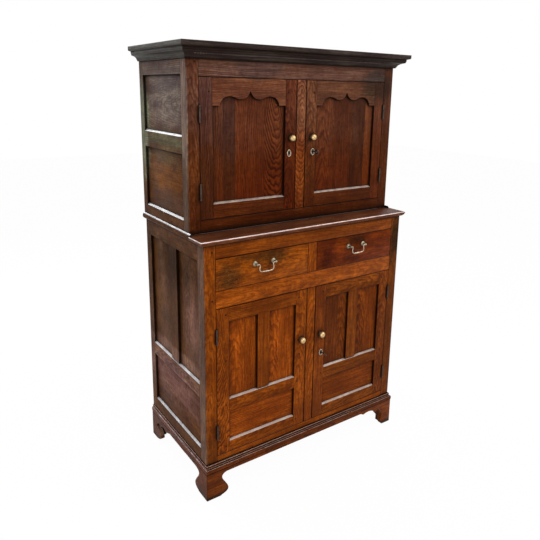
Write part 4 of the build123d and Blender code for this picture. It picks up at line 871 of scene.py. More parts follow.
def welded_solids(mesh: bpy.types.Mesh) -> tuple[Array, Array, Array]:
    """Welds a node's loose triangles into closed solids, and keeps solids that only touch apart.

    Where four triangles share an edge, the two that come first in the mesh belong to one solid.

    Args:
        mesh: The node's mesh.

    Returns:
        The points, the triangles' corners, and the solid that each point belongs to.
    """
    points = vertices_of(mesh)
    corners = np.empty(len(mesh.loops), np.int32)
    mesh.loops.foreach_get("vertex_index", corners)
    cells = np.round(points * WELD_STEPS_PER_METRE).astype(np.int64)
    _, first, place = np.unique(cells, axis=0, return_index=True, return_inverse=True)
    triangles = place.ravel()[corners.reshape(-1, 3)]
    ends = np.sort(np.stack([triangles, np.roll(triangles, -1, axis=1)], axis=2).reshape(-1, 2), axis=1)
    owner = np.repeat(np.arange(len(triangles)), 3)
    order = np.lexsort((owner, ends[:, 1], ends[:, 0]))
    ends, owner = ends[order], owner[order]
    same = np.all(ends[1:] == ends[:-1], axis=1)
    index = np.arange(len(ends))
    run_start = np.maximum.accumulate(np.where(np.concatenate([[True], ~same]), index, 0))
    linked = same & ((index - run_start)[:-1] % 2 == 0)
    solid = joined_labels(len(triangles), np.stack([owner[:-1][linked], owner[1:][linked]], axis=1))
    pair = np.stack([np.repeat(solid, 3), triangles.ravel()], axis=1)
    unique, welded = np.unique(pair, axis=0, return_inverse=True)
    return points[first[unique[:, 1]]], welded.reshape(-1, 3), unique[:, 0]


def rightwards_upwards(place: Array) -> tuple[float, ...]:
    """Gives the key that sorts places from left to right, then upwards, then to the back."""
    return tuple(np.round(place[[0, 2, 1]], 3))


def solid_boxes(node: str) -> list[tuple[Array, Array]]:
    """Measures each solid of a node, from left to right and upwards.

    Slivers at the poles of turned shapes, under 2 mm, aren't solids and are left out.

    Args:
        node: The node's name.

    Returns:
        The lowest and highest corner of each solid.
    """
    points, _, solid = welded_solids(frame["nodes"][node].data)
    boxes = [(points[solid == value].min(0), points[solid == value].max(0)) for value in np.unique(solid)]
    boxes = [box for box in boxes if np.max(box[1] - box[0]) > SLIVER]
    return sorted(boxes, key=lambda box: rightwards_upwards(box[0] + box[1]))


@dataclass
class Timber:
    """Softens, orients and tones the boards of wooden pieces."""

    arris: float = 1.3 * MILLIMETRE
    long_arris: float = 3.6 * MILLIMETRE
    long: float = 200.0 * MILLIMETRE
    flat: float = math.radians(0.4)
    faint: float = 0.01
    sharp: float = math.radians(28.0)
    curve: float = math.radians(22.0)
    chamfer_slope: tuple[float, float] = (0.6, 0.8)
    chamfer_area: float = 0.001
    log_shift: float = 0.4
    depth_spread: float = 0.015
    tone_range: tuple[float, float] = (0.86, 1.10)
    figure_range: tuple[float, float] = (0.5, 1.0)
    seed: int = 1690

    def copy_of(self, node: str, arris_rubbing_and_highlight: float) -> bpy.types.Object:
        """Copies a node's solids as whole flat faces with softened arrises.

        Args:
            node: The node's name.
            arris_rubbing_and_highlight: How worn the arrises are, which above 0 also sets a painted highlight on
                them.

        Returns:
            The new object, with 1 in the attribute worn on its chamfers and how worn the arrises are on its arrises;
            the material turns these into rubbing with a painted highlight above 0, and into dark wax with painted gap
            shade below 0.
        """
        points, triangles, _ = welded_solids(frame["nodes"][node].data)
        mesh = new_mesh(node + "_oak", points, triangles)
        work = bmesh.new()
        work.from_mesh(mesh)
        bmesh.ops.dissolve_limit(work, angle_limit=self.flat, verts=work.verts, edges=work.edges)
        # The attribute worn holds 1 on chamfers and how worn each arris is, which the material paints as rubbing with
        # a highlight above 0 and as dark wax with gap shade below 0.
        worn = work.faces.layers.float.new("worn")
        for face in work.faces:
            face[worn] = 1.0 if self.is_chamfer(face) else 0.0
        for long, offset in ((True, self.long_arris), (False, self.arris)):
            arrises = [
                edge for edge in work.edges
                if edge.is_manifold and edge.calc_face_angle(0.0) > self.sharp
                and (edge.calc_length() > self.long) is long
            ]
            softened = bmesh.ops.bevel(
                work, geom=arrises, offset=offset, segments=2, profile=0.5, affect="EDGES", clamp_overlap=True
            )
            for face in softened["faces"]:
                face[worn] = arris_rubbing_and_highlight
        for face in work.faces:
            angles = [edge.calc_face_angle(0.0) for edge in face.edges if edge.is_manifold]
            face.smooth = any(self.faint < angle < self.curve for angle in angles)
        work.to_mesh(mesh)
        work.free()
        mesh.set_sharp_from_angle(angle=self.curve)
        return placed(mesh.name, mesh)

    def is_chamfer(self, face: bmesh.types.BMFace) -> bool:
        """Tells whether a face is one of the wide planed chamfers along a rail's upper edge."""
        low, high = self.chamfer_slope
        return low < face.normal.z < high and len(face.verts) == 4 and face.calc_area() > self.chamfer_area

    def planks(self, node: str, look: Look) -> bpy.types.Object:
        """Makes a node's flat panels anew as boards glued edge to edge.

        A board's corners are low + (high - low) * corner, where the corner is 0 or 1 along each axis,
        and along the axis across the grain the running totals of the look's shares.

        Args:
            node: The node's name. Each of its solids is a box.
            look: The look, with the shares of each panel's boards and the way the grain runs.

        Returns:
            The new object.
        """
        unit = np.array([(x, y, z) for z in (0, 1) for y in (0, 1) for x in (0, 1)], float)
        quads = np.array([(0, 2, 3, 1), (4, 5, 7, 6), (0, 1, 5, 4), (2, 6, 7, 3), (0, 4, 6, 2), (1, 3, 7, 5)])
        points, faces = [], []
        for (low, high), widths in zip(solid_boxes(node), look.shares):
            across = 2 if high[2] - low[2] < high[0] - low[0] and look.grain is not Grain.Z else 0
            stops = np.concatenate([[0.0], np.cumsum(widths) / np.sum(widths)])
            for start, end in zip(stops[:-1], stops[1:]):
                corner = unit.copy()
                corner[:, across] = start + (end - start) * corner[:, across]
                faces.append(quads + 8 * len(points))
                points.append(low + (high - low) * corner)
        mesh = new_mesh(node + "_oak", np.vstack(points), np.vstack(faces))
        return placed(mesh.name, mesh)

    def boards(self, mesh: bpy.types.Mesh) -> list[Array]:
        """Finds the separate boards of a mesh.

        Args:
            mesh: The mesh.

        Returns:
            The vertex indices of each board, from left to right and upwards.
        """
        edges = np.empty(len(mesh.edges) * 2, np.int32)
        mesh.edges.foreach_get("vertices", edges)
        label = joined_labels(len(mesh.vertices), edges.reshape(-1, 2))
        points = vertices_of(mesh)
        groups = [np.nonzero(label == value)[0] for value in np.unique(label)]
        return sorted(groups, key=lambda group: rightwards_upwards(points[group].min(0) + points[group].max(0)))

    def orient(self, piece: bpy.types.Object, look: Look) -> None:
        """Gives each board its own place in a log, its own tone and its own strength of figure.

        The attribute log holds the distances along, across and into the board from its middle, moved
        by the sawing and by a random place along the log. The last one also grows along the board by
        the lean of the cut.

        Args:
            piece: The wooden piece.
            look: The boards' grain, tones, cuts and strengths of figure.
        """
        mesh = piece.data
        points = vertices_of(mesh)
        log, tone, figure = np.zeros(points.shape), np.ones(points.shape), np.ones(len(points))
        for index, board in enumerate(self.boards(mesh)):
            low, high = points[board].min(0), points[board].max(0)
            middle, size = (low + high) / 2.0, high - low
            digits = [int(abs(value) * MILLIMETRES_PER_METRE) for value in middle]
            rng = np.random.default_rng([self.seed, len(piece.name), *digits])
            along = int(np.argmax(size)) if look.grain is Grain.LONGEST else look.grain.value
            across, deep = sorted((axis for axis in range(3) if axis != along), key=lambda axis: -size[axis])
            random_cut = RANDOM_CUTS[int(rng.integers(len(RANDOM_CUTS)))]
            chosen = index < len(look.cuts)
            side, depth, lean = (look.cuts[index] if chosen else random_cut).value
            sign = 1.0 if rng.random() < 0.5 or chosen else -1.0
            along_log = rng.uniform(-self.log_shift, self.log_shift)
            shift = np.array([along_log, sign * side, depth + rng.uniform(0.0, self.depth_spread)])
            local = (points[board] - middle)[:, [along, across, deep]]
            local[:, 2] += lean * local[:, 0]
            log[board] = local + shift
            tone[board] = look.tones[index] if index < len(look.tones) else rng.uniform(*self.tone_range)
            figure[board] = look.figures[index] if index < len(look.figures) else rng.uniform(*self.figure_range)
        for name, values in (("log", log), ("tone", tone), ("figure", figure)):
            self.attribute(mesh, name, values)

    def attribute(self, mesh: bpy.types.Mesh, name: str, values: Array) -> None:
        """Writes an attribute of the mesh.

        Args:
            mesh: The mesh.
            name: The attribute's name.
            values: One number or one vector for each vertex.
        """
        flat = values.ndim == 1
        layer = mesh.attributes.new(name, "FLOAT" if flat else "FLOAT_VECTOR", "POINT")
        layer.data.foreach_set("value" if flat else "vector", values.astype(np.float32).ravel())


# ---------------------------------------------------------------------------------------
# Sub-assemblies
# ---------------------------------------------------------------------------------------


@dataclass
class Workshop:
    """Holds the finished materials and the ways of dressing a piece."""

    timber: Timber = field(default_factory=Timber)
    materials: dict[str, bpy.types.Material] = field(default_factory=dict)

    def prepare(self) -> None:
        """Builds every material once."""
        figure = make_oak_figure()
        patina = make_patina()
        for key, finish in OAKS.items():
            self.materials[key] = finish.material(figure, patina)
        for key, metal in METALS.items():
            self.materials[key] = metal.material()

    def finish(self, piece: bpy.types.Object, key: str, body: str) -> None:
        """Gives a piece its material and the body that it rides on.

        Args:
            piece: The piece.
            key: The finish's name.
            body: The body's name.
        """
        piece.data.materials.clear()
        piece.data.materials.append(self.materials[key])
        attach(piece, body)
        LOG.info("%s: %s on %s", piece.name, key, body)

    def dress(self, node: str, key: str, look: Look = Look()) -> bpy.types.Object:
        """Replaces a wooden node by its softened copy, or by glued boards, in one finish.

        Args:
            node: The node's name.
            key: The finish's name.
            look: The look of its boards.

        Returns:
            The new piece.
        """
        piece = self.timber.planks(node, look) if look.shares else self.timber.copy_of(node, look.arris_rubbing_and_highlight)
        self.timber.orient(piece, look)
        self.finish(piece, key, BODY_OF[node])
        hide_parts(node)
        return piece

    def recolour(self, node: str, key: str) -> None:
        """Gives a node's own mesh a better material.

        Args:
            node: The node's name.
            key: The finish's name.
        """
        mesh = frame["nodes"][node].data
        mesh.materials.clear()
        mesh.materials.append(self.materials[key])
        LOG.info("%s: %s", node, key)


@dataclass
class Brassware:
    """The turned knobs, the keyhole rings and the swan-neck handles, with sizes in millimetres."""

    shop: Workshop
    knob_radius: float = 13.8
    knob_head: float = 11.0
    knob_reach: float = 27.5
    stud_length: float = 15.0
    ring_half: tuple[float, float] = (10.5, 15.0)
    ring_width: float = 3.4
    ring_plate: float = 1.0
    ring_rise: float = 1.4
    keyhole: Triple = (3.1, 1.7, 2.6)
    head_radius: float = 5.5
    head_reach: float = 18.0
    wire: float = 2.3
    knop_radius: float = 4.2
    knop_half: float = 10.0
    bail_half: float = 48.0
    bail_moves: tuple[tuple[float, float], ...] = ((10.0, 0.0), (6.0, -90.0), (30.0, -18.0), (13.0, 108.0))
    thin: float = 10.0

    def knob(self, face: Array) -> tuple[Sheet, Sheet]:
        """Turns one knob: its stud with the moulded rose and neck, and its flattened head.

        The head's profile is (radius * cos(angle), reach - head - head * sin(angle)).

        Args:
            face: The knob's middle on the door's face.

        Returns:
            The rose and the head.
        """
        foot = np.array([
            (0.0, -self.stud_length), (3.0, -self.stud_length), (3.0, 0.0), (8.0, 0.0), (8.0, 0.9), (7.7, 1.4),
            (6.9, 1.8), (5.6, 2.1), (4.7, 2.8), (4.3, 3.8), (4.3, 4.8), (4.7, 5.7), (5.5, 6.4), (5.5, 8.4),
            (0.0, 8.4),
        ])
        angle = np.radians(np.linspace(90.0, -90.0, 32))
        head = np.stack([
            self.knob_radius * np.cos(angle), self.knob_reach - self.knob_head - self.knob_head * np.sin(angle),
        ], axis=1)
        return turned(foot * MILLIMETRE, face, 44), turned(head * MILLIMETRE, face, 44)

    def ring(self, face: Array) -> tuple[Sheet, Sheet]:
        """Makes one keyhole ring: an oval plate with a keyhole through it, and its raised, rounded rim.

        The keyhole's outline is (half width * cos t, radius * sin t + drop * clip(4 sin t)), with a
        narrower half width below. The rim's point u from 0 to 1 lies on the oval that is grown by
        u * width, at the height plate + rise * sin(pi u) to the power 0.6.

        Args:
            face: The ring's middle on the door's face.

        Returns:
            The plate and the rim.
        """
        radius, slot, drop = self.keyhole
        t = np.linspace(0.0, 2.0 * math.pi, 56, endpoint=False)
        wide = slot + (radius - slot) * np.clip(3.0 * np.sin(t) + 1.0, 0.0, 1.0)
        hole = np.stack([wide * np.cos(t), radius * np.sin(t) + drop * np.clip(4.0 * np.sin(t), -1.0, 1.0)], axis=1)
        share = np.linspace(0.0, 1.0, 9)
        grown = np.array(self.ring_half) - self.ring_width * (1.0 - share[:, None])
        rim = grown[:, None, :] * np.stack([np.cos(t), np.sin(t)], axis=1)[None, :, :]
        height = self.ring_plate + self.ring_rise * np.sin(math.pi * share) ** 0.6
        plate = self._raised(face, np.stack([hole, hole, rim[2], rim[2]]), np.array([0.0, 1.0, 1.0, 0.0]))
        crest = self._raised(
            face, np.concatenate([rim[:1], rim, rim[-1:]]), np.concatenate([[0.0], height, [0.0]])
        )
        return plate, crest

    def _raised(self, face: Array, rows: Array, levels: Array) -> Sheet:
        """Stands outlines off the face by their levels, as face + (x, -level, z).

        Args:
            face: The middle of the plate, on the face.
            rows: The outlines' x and z, in millimetres.
            levels: How far each outline stands off the face, in millimetres.

        Returns:
            The surface.
        """
        flat = np.broadcast_to(levels[:, None], rows.shape[:2])
        points = face + np.stack([rows[:, :, 0], -flat, rows[:, :, 1]], axis=2) * MILLIMETRE
        return Sheet(points, closed_u=True, closed_v=True)

    def post(self, face: Array, stub_end: float) -> Sheet:
        """Turns one handle post: its stub, its stepped rose, its stem and its round head.

        The head's profile is (radius * cos(angle), reach - radius * sin(angle)).

        Args:
            face: The middle of the rose, on the drawer's front.
            stub_end: How far the stub goes into the front, in millimetres.

        Returns:
            The surface.
        """
        foot = np.array([
            (0.0, -stub_end), (2.6, -stub_end), (2.6, 0.0), (10.5, 0.0), (10.5, 0.7), (10.1, 1.2), (9.2, 1.5),
            (8.3, 1.7), (8.0, 2.3), (7.2, 2.8), (5.4, 3.1), (4.2, 3.7), (3.5, 5.0), (3.3, 8.0), (3.4, 11.0),
            (3.8, 12.8),
        ])
        angle = np.radians(np.linspace(44.0, -90.0, 16))
        radius, reach = self.head_radius, self.head_reach
        head = np.stack([radius * np.cos(angle), reach - radius * np.sin(angle)], axis=1)
        return turned(np.vstack([foot, head]) * MILLIMETRE, face, 32)

    def bail(self, low: Array, high: Array) -> Sheet:
        """Bends one swan-neck bail through its node's box, and swells it to a knop in the middle.

        The radius at the distance s from the middle is wire + (knop - wire) * (1 - (s / half) squared),
        and the wire's own outside the knop.

        Args:
            low: The lowest corner of the node's box.
            high: Its highest corner.

        Returns:
            The surface.
        """
        half = bent_path(self.bail_moves)
        half = np.vstack([half, np.linspace(half[-1], [self.bail_half, half[-1, 1]], 12)[1:]])
        half[:, 0] -= self.bail_half
        flat = np.vstack([half, half[-2::-1] * (-1.0, 1.0)])
        steps = np.concatenate([[0.0], np.cumsum(np.linalg.norm(np.diff(flat, axis=0), axis=1))])
        away = np.abs(steps - steps[-1] / 2.0)
        radii = self.wire + (self.knop_radius - self.wire) * np.clip(1.0 - (away / self.knop_half) ** 2, 0.0, 1.0)
        pivot = np.array([(low[0] + high[0]) / 2.0, (low[1] + high[1]) / 2.0, high[2] - self.wire * MILLIMETRE])
        path = pivot + np.stack([flat[:, 0], np.zeros(len(flat)), flat[:, 1]], axis=1) * MILLIMETRE
        return swept(path, radii * MILLIMETRE, np.array([0.0, 1.0, 0.0]))

    def door(self, door: str) -> None:
        """Makes a door's knob, and its keyhole ring where the node has one.

        Args:
            door: The door's name.
        """
        node = door + "_knob"
        made = []
        for low, high in solid_boxes(node):
            middle = (low + high) / 2.0
            if high[1] - low[1] > self.thin * MILLIMETRE:
                rose, head = self.knob(np.array([middle[0], high[1] - self.stud_length * MILLIMETRE, middle[2]]))
                # The rose is dark brass, partly as a painted shade under the knob's head.
                made += [("_knob_rose", "dark_brass", rose), ("_turned_knob", "brass", head)]
            else:
                plate, crest = self.ring(np.array([middle[0], high[1], middle[2]]))
                made += [("_keyhole_plate", "dark_brass", plate), ("_keyhole_ring", "pale_brass", crest)]
        pieces = []
        for name, key, sheet in made:
            pieces.append(mesh_object(door + name, [sheet]))
            self.shop.finish(pieces[-1], key, BODY_OF[node])
        for piece in pieces:
            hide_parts(node)

    def drawer(self, drawer: str) -> None:
        """Makes a drawer's two posts with their nuts, and its bail.

        Args:
            drawer: The drawer's name.
        """
        node, bail = drawer + "_handle_posts", drawer + "_bail"
        front = float(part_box(drawer + "_front")[0][1])
        nut = np.array([(2.7, 0.0), (7.0, 0.0), (7.0, 3.0), (2.7, 3.0)]) * MILLIMETRE
        posts, nuts = [], []
        for low, high in solid_boxes(node):
            middle = (low + high) / 2.0
            if high[1] - low[1] > self.thin * MILLIMETRE:
                stub_end = (high[1] - front) / MILLIMETRE
                posts.append(self.post(np.array([middle[0], front, middle[2]]), stub_end))
            else:
                nuts.append(turned(nut, np.array([middle[0], high[1], middle[2]]), 6, hollow=True))
        for node, name, key, sheets in (
            (node, "_turned_posts", "dull_brass", posts + nuts),
            (bail, "_swan_neck", "pale_brass", [self.bail(*solid_boxes(bail)[0])]),
        ):
            piece = mesh_object(drawer + name, sheets)
            self.shop.finish(piece, key, BODY_OF[node])
            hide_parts(node)


@dataclass
class Pegs:
    """The oak pegs that pin the tenons, a little proud of the face, with sizes in millimetres."""

    shop: Workshop
    radius: float = 3.6
    proud: float = 0.4
    inset: float = 15.0
    shoulder_gap: float = 4.0

    def across(self, uprights: str, rails: str) -> list[Array]:
        """Places a peg on each upright at the end of each rail.

        Args:
            uprights: The node of the stiles or posts.
            rails: The node of the rails whose tenons they hold.

        Returns:
            The pegs' centres on the front face.
        """
        places = []
        for low, high in solid_boxes(uprights):
            for rail_low, rail_high in solid_boxes(rails):
                inner = high[0] if rail_high[0] + rail_low[0] > low[0] + high[0] else low[0]
                toward = -1.0 if inner == high[0] else 1.0
                height = (rail_low[2] + rail_high[2]) / 2.0
                places.append(np.array([inner + toward * self.inset * MILLIMETRE, low[1], height]))
        return places

    def over(self, muntins: str, rails: str) -> list[Array]:
        """Places a peg on each rail that a muntin's tenon enters, beside the muntin's end.

        Args:
            muntins: The node of the short uprights.
            rails: The node of the rails that they stand between.

        Returns:
            The pegs' centres on the front face.
        """
        places = []
        for low, high in solid_boxes(muntins):
            middle = (low[0] + high[0]) / 2.0
            for rail_low, rail_high in solid_boxes(rails):
                for edge, end, toward in ((rail_low[2], high[2], 1.0), (rail_high[2], low[2], -1.0)):
                    if abs(edge - end) < self.shoulder_gap * MILLIMETRE:
                        places.append(np.array([middle, rail_low[1], edge + toward * self.inset * MILLIMETRE]))
        return places

    def drive(self, name: str, uprights: str, rails: str, muntins: str = "") -> None:
        """Makes all the pegs of one frame as one piece.

        Args:
            name: The piece's name.
            uprights: The node of the stiles or posts.
            rails: The node of the rails.
            muntins: The node of the muntins, if the frame has any that are pegged.
        """
        places = self.across(uprights, rails) + (self.over(muntins, rails) if muntins else [])
        dome = [(0.0, -0.5), (self.radius, -0.5), (self.radius, 0.4 * self.proud), (0.75 * self.radius, self.proud),
                (0.0, 1.1 * self.proud)]
        piece = mesh_object(name, [turned(np.array(dome) * MILLIMETRE, place, 14) for place in places])
        self.shop.timber.orient(piece, Look(grain=Grain.Y))
        self.shop.finish(piece, "peg", BODY_OF[rails])


@dataclass
class UpperCase:
    """The upper case's wood, apart from its doors."""

    shop: Workshop
    stud_height: float = 1.7905
    stud_span: tuple[float, float] = (-0.500, 0.420)
    stud_pitch: float = 0.0112
    stud_radius: float = 1.9

    def build(self) -> None:
        """Dresses the posts, rails, sides, boards and cornice."""
        dress = self.shop.dress
        dress("cornice_front", "cornice", Look((1.0,), (Cut.RIFT,)))
        # The returns' greyer, greener tone is a painted reflection.
        dress("cornice_returns", "cornice", Look(((1.15, 1.50, 1.48),) * 2))
        dress("upper_top_boards", "inside")
        dress("upper_front_posts", "upper", Look(((0.95, 1.0, 1.1), 0.85), (Cut.FLAT, Cut.RIFT), (0.8, 0.8)))
        # The upper rail's bluer, greyer tone is partly a painted sheen.
        rails = Look(((0.85, 0.80, 0.75), (1.15, 1.50, 2.0)), (Cut.RIFT, Cut.QUARTER))
        dress("upper_front_rails", "upper", rails)
        dress("upper_muntin", "upper", Look(((1.7, 1.55, 1.3),), (Cut.CUPS,), (1.1,)))
        dress("upper_side_frames", "side")
        panels = Look((1.05, 1.0, (1.0, 0.95, 0.9), 1.0, 1.0), figures=(0.5, 0.6, 0.6, 0.6, 0.2))
        dress("side_panels", "side", panels)
        dress("back_boards", "inside")
        dress("shelf_boards", "inside")
        # The waist moulding's arrises are worn bright, partly as a painted highlight.
        dress("waist_mouldings", "side", Look(arris_rubbing_and_highlight=0.5))
        Pegs(self.shop).drive("upper_case_pegs", "upper_front_posts", "upper_front_rails", "upper_muntin")
        self.studs()

    def studs(self) -> None:
        """Sets the row of small pale studs along the cornice's hollow, on its surface."""
        points, triangles, _ = welded_solids(frame["nodes"]["cornice_front"].data)
        tree = BVHTree.FromPolygons([Vector(point) for point in points], triangles.tolist())
        hit = tree.ray_cast(Vector((0.0, -1.0, self.stud_height)), Vector((0.0, 1.0, 0.0)))[0]
        dome = np.array([(0.0, -1.0), (1.0, -1.0), (1.0, 0.1), (0.7, 0.4), (0.0, 0.5)])
        dome *= (self.stud_radius * MILLIMETRE, MILLIMETRE)
        across = np.arange(self.stud_span[0], self.stud_span[1], self.stud_pitch)
        sheets = [turned(dome, np.array([x, hit.y, self.stud_height]), 8) for x in across]
        piece = mesh_object("cornice_studs", sheets)
        self.shop.timber.orient(piece, Look((1.0,) * len(sheets), grain=Grain.Y))
        self.shop.finish(piece, "stud", BODY_OF["cornice_front"])


@dataclass
class LowerCase:
    """The lower case's wood, apart from its doors and drawers."""

    shop: Workshop

    def build(self) -> None:
        """Dresses the ledge, posts, rails, sides, runners and plinth."""
        dress = self.shop.dress
        # The ledge's arrises are worn bright, partly as a painted highlight.
        dress("ledge_boards", "ledge", Look(arris_rubbing_and_highlight=0.9))
        dress("lower_front_posts", "lower", Look((0.92, (0.62, 0.66, 0.8)), (Cut.FLAT, Cut.RIFT)))
        dress("lower_front_rails", "lower", Look((1.25, 1.25, 0.95), (Cut.RIFT, Cut.FLAT, Cut.RIFT)))
        dress("lower_muntins", "lower", Look((1.1, 1.1)))
        dress("lower_side_frames", "side")
        dress("drawer_runners", "inside")
        dress("base_mouldings", "plinth")
        dress("bracket_feet", "plinth", Look((1.0,) * 6 + (1.5,) * 6, grain=Grain.X))
        Pegs(self.shop).drive("lower_case_pegs", "lower_front_posts", "lower_front_rails", "lower_muntins")


@dataclass
class Door:
    """One door: its frame, its panels, its pegs, its brass and its ironwork."""

    shop: Workshop
    name: str
    oak: str
    stiles: Look
    rails: Look
    panels: Look
    panel_node: str

    def build(self) -> None:
        """Dresses the stiles, rails, panels, lock, bolt, hinges, knob and keyhole ring."""
        for part, key, look in (
            ("_stiles", self.oak, self.stiles),
            ("_rails", self.oak, self.rails),
            (self.panel_node, self.oak + "_panel", self.panels),
        ):
            self.shop.dress(self.name + part, key, look)
        for part in ("_lock", "_bolt", "_hinges"):
            self.shop.recolour(self.name + part, "steel")
        Brassware(self.shop).door(self.name)
        Pegs(self.shop).drive(self.name + "_pegs", self.name + "_stiles", self.name + "_rails")


@dataclass
class Drawer:
    """One drawer: its front, its box and its brass handle."""

    shop: Workshop
    name: str
    tone: Tone

    def build(self) -> None:
        """Dresses the front, sides, bottom, posts and bail."""
        self.shop.dress(self.name + "_front", "drawer", Look((self.tone,), (Cut.FLAT,)))
        self.shop.dress(self.name + "_box", "inside")
        self.shop.dress(self.name + "_bottom", "inside")
        Brassware(self.shop).drawer(self.name)


@dataclass
class Studio:
    """The floor, the lights and the camera."""

    focal: float = 36.876
    place: Triple = (-1.4264, -2.0404, 1.6656)
    yaw: float = 0.613
    pitch: float = -0.235
    roll: float = 0.018
    shift: tuple[float, float] = (-0.0191, -0.0878)
    floor_half: float = 12.0
    floor_glow: float = 0.97
    soft_light: float = 0.55

    def build(self) -> None:
        """Makes the camera, floor, world and lamps."""
        self.camera()
        self.floor()
        self.world()
        self.lamp("key", (1.9, -2.6, 3.4), (0.0, 0.0, 0.9), (2.6, 2.6), 95.0)
        self.lamp("back_window", (-1.3, 2.9, 3.0), (-0.5, 0.0, 0.9), (2.2, 1.8), 75.0)
        self.lamp("fill", (-2.6, -2.8, 1.2), (0.0, 0.0, 0.9), (2.0, 2.0), 35.0)

    def camera(self) -> None:
        """Places the camera by its heading, tilt and roll.

        The view direction is (sin yaw cos pitch, cos yaw cos pitch, sin pitch).
        """
        cos_p, sin_p = math.cos(self.pitch), math.sin(self.pitch)
        forward = Vector((math.sin(self.yaw) * cos_p, math.cos(self.yaw) * cos_p, sin_p))
        level = Vector((math.cos(self.yaw), -math.sin(self.yaw), 0.0))
        upright = level.cross(forward)
        right = level * math.cos(self.roll) + upright * math.sin(self.roll)
        up = upright * math.cos(self.roll) - level * math.sin(self.roll)
        data = bpy.data.cameras.new("camera")
        data.lens = self.focal
        data.sensor_width = 36.0
        data.shift_x, data.shift_y = self.shift
        camera = bpy.data.objects.new("camera", data)
        turn = Matrix((right, up, -forward)).transposed().to_4x4()
        camera.matrix_world = Matrix.Translation(self.place) @ turn
        bpy.context.scene.collection.objects.link(camera)
        bpy.context.scene.camera = camera

    def seen(self, w: Wiring) -> object:
        """Makes the mask of what the camera sees: straight on, through glass or in a reflection.

        Args:
            w: The wiring that it is added to.

        Returns:
            The mask's socket.
        """
        path = w.add("ShaderNodeLightPath").outputs
        seen = w.math("MAXIMUM", path["Is Camera Ray"], path["Is Transmission Ray"])
        return w.math("MAXIMUM", seen, path["Is Glossy Ray"])

    def floor(self) -> None:
        """Makes the pale floor, which keeps a light shadow and looks white to the camera."""
        span = np.linspace(-self.floor_half, self.floor_half, 3)
        grid = np.stack(np.meshgrid(span, span, [0.0], indexing="ij"), axis=-1)[:, :, 0, :]
        piece = mesh_object("floor", [Sheet(grid)])
        made, w, shader = new_material("floor_white")
        shader.inputs["Base Color"].default_value = (0.94, 0.94, 0.94, 1.0)
        shader.inputs["Roughness"].default_value = 0.9
        blend = w.add("ShaderNodeMixShader")
        w.join(w.times(self.seen(w), self.floor_glow), blend.inputs[0])
        w.join(shader.outputs[0], blend.inputs[1])
        w.join(w.add("ShaderNodeEmission").outputs[0], blend.inputs[2])
        w.join(blend.outputs[0], made.node_tree.nodes["Material Output"].inputs["Surface"])
        piece.data.materials.append(made)

    def world(self) -> None:
        """Makes the world white to the camera and in reflections, and a soft light elsewhere."""
        world = bpy.data.worlds.new("studio")
        world.use_nodes = True
        bpy.context.scene.world = world
        w = Wiring(world.node_tree)
        background = world.node_tree.nodes["Background"]
        background.inputs["Color"].default_value = (1.0, 1.0, 1.0, 1.0)
        w.join(w.ramp(self.seen(w), 0.0, 1.0, self.soft_light, 1.0), background.inputs["Strength"])
        bpy.context.scene.view_settings.view_transform = "Standard"

    def lamp(
        self,
        name: str,
        place: Triple,
        target: Triple,
        size: tuple[float, float],
        power: float,
    ) -> None:
        """Hangs one soft area lamp.

        Args:
            name: The lamp's name.
            place: Where it hangs, in metres.
            target: The point that it faces.
            size: Its width and height.
            power: Its power in watts.
        """
        data = bpy.data.lights.new(name, "AREA")
        data.shape = "RECTANGLE"
        data.size, data.size_y = size
        data.energy = power
        lamp = bpy.data.objects.new(name, data)
        lamp.matrix_world = (
            Matrix.Translation(place) @ (Vector(target) - Vector(place)).to_track_quat("-Z", "Y").to_matrix().to_4x4()
        )
        bpy.context.scene.collection.objects.link(lamp)


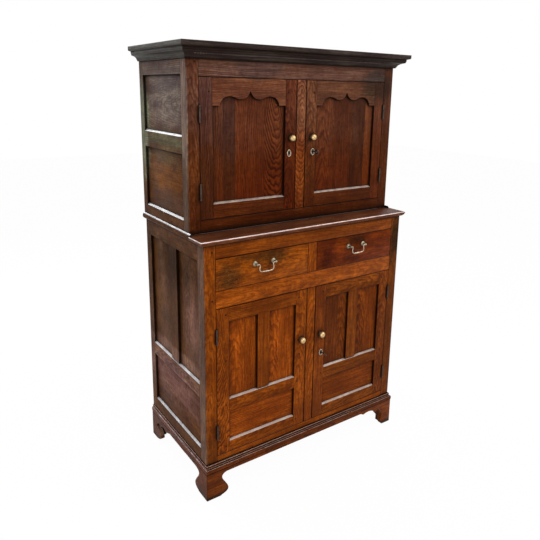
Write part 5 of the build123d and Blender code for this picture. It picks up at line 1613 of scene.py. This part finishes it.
def main() -> None:
    """Builds every sub-assembly in order."""
    logging.basicConfig(level=logging.INFO, format="%(name)s: %(message)s")
    shop = Workshop()
    shop.prepare()
    UpperCase(shop).build()
    LowerCase(shop).build()
    for door in (
        Door(
            shop, "upper_left_door", "upper",
            Look(((0.90, 1.02, 1.4), (0.85, 0.60, 0.5)), (Cut.RIFT, Cut.FLAT)),
            Look((1.05, (1.32, 1.26, 1.15)), (Cut.RIFT, Cut.RIFT)),
            Look(((1.05, 1.2, 1.5), (0.62, 0.78, 1.3), (1.10, 1.0, 1.0), (1.10, 1.0, 0.9)),
                 (Cut.RIFT, Cut.QUARTER, Cut.RIFT, Cut.CUPS), (0.7, 0.5, 0.7, 1.3),
                 ((0.155, 0.16, 0.395, 0.29),)),
            "_panel",
        ),
        Door(
            shop, "upper_right_door", "upper",
            Look(((1.00, 0.98, 0.88), (1.15, 1.05, 1.0)), (Cut.FLAT, Cut.RIFT)),
            Look((1.0, (1.00, 1.04, 1.00)), (Cut.RIFT, Cut.QUARTER)),
            Look(((1.0, 0.98, 1.0), (0.88, 0.85, 0.9), (0.55, 0.62, 0.8), (1.5, 1.55, 1.5)),
                 (Cut.FLAT, Cut.RIFT, Cut.QUARTER, Cut.RIFT), (0.8, 0.8, 0.5, 0.8),
                 ((0.33, 0.29, 0.23, 0.15),)),
            "_panel",
        ),
        Door(
            shop, "lower_left_door", "lower",
            Look((1.05, 1.05), (Cut.HALF, Cut.FLAT), (1.2, 0.8)), Look(),
            Look((1.05, 0.9, 1.0, 1.1, 0.95, 1.05), (Cut.FLAT, Cut.RIFT, Cut.RIFT, Cut.FLAT, Cut.RIFT),
                 (0.8, 0.7, 0.8, 1.0, 0.6), ((0.55, 0.45), (1.0,), (0.4, 0.6))),
            "_panels",
        ),
        Door(
            shop, "lower_right_door", "lower",
            Look(((0.87, 0.87, 1.3), (0.70, 0.70, 1.1)), (Cut.RIFT, Cut.FLAT)),
            Look(((0.75, 0.8, 1.0),) * 6),
            Look(((0.42, 0.45, 0.9), (0.55, 0.6, 1.0), 0.66, 0.55, 0.68),
                 (Cut.RIFT, Cut.FLAT, Cut.RIFT, Cut.FLAT, Cut.RIFT), (0.8, 0.8, 0.7, 1.0, 0.7),
                 ((0.6, 0.4), (1.0,), (0.45, 0.55))),
            "_panels",
        ),
    ):
        door.build()
    Drawer(shop, "left_drawer", 1.05).build()
    Drawer(shop, "right_drawer", (0.68, 0.48, 0.42)).build()
    for node in ("hinge_frame_leaves", "upper_right_key", "lower_right_key"):
        shop.recolour(node, "steel")
    Studio().build()


if __name__ == "__main__":
    main()
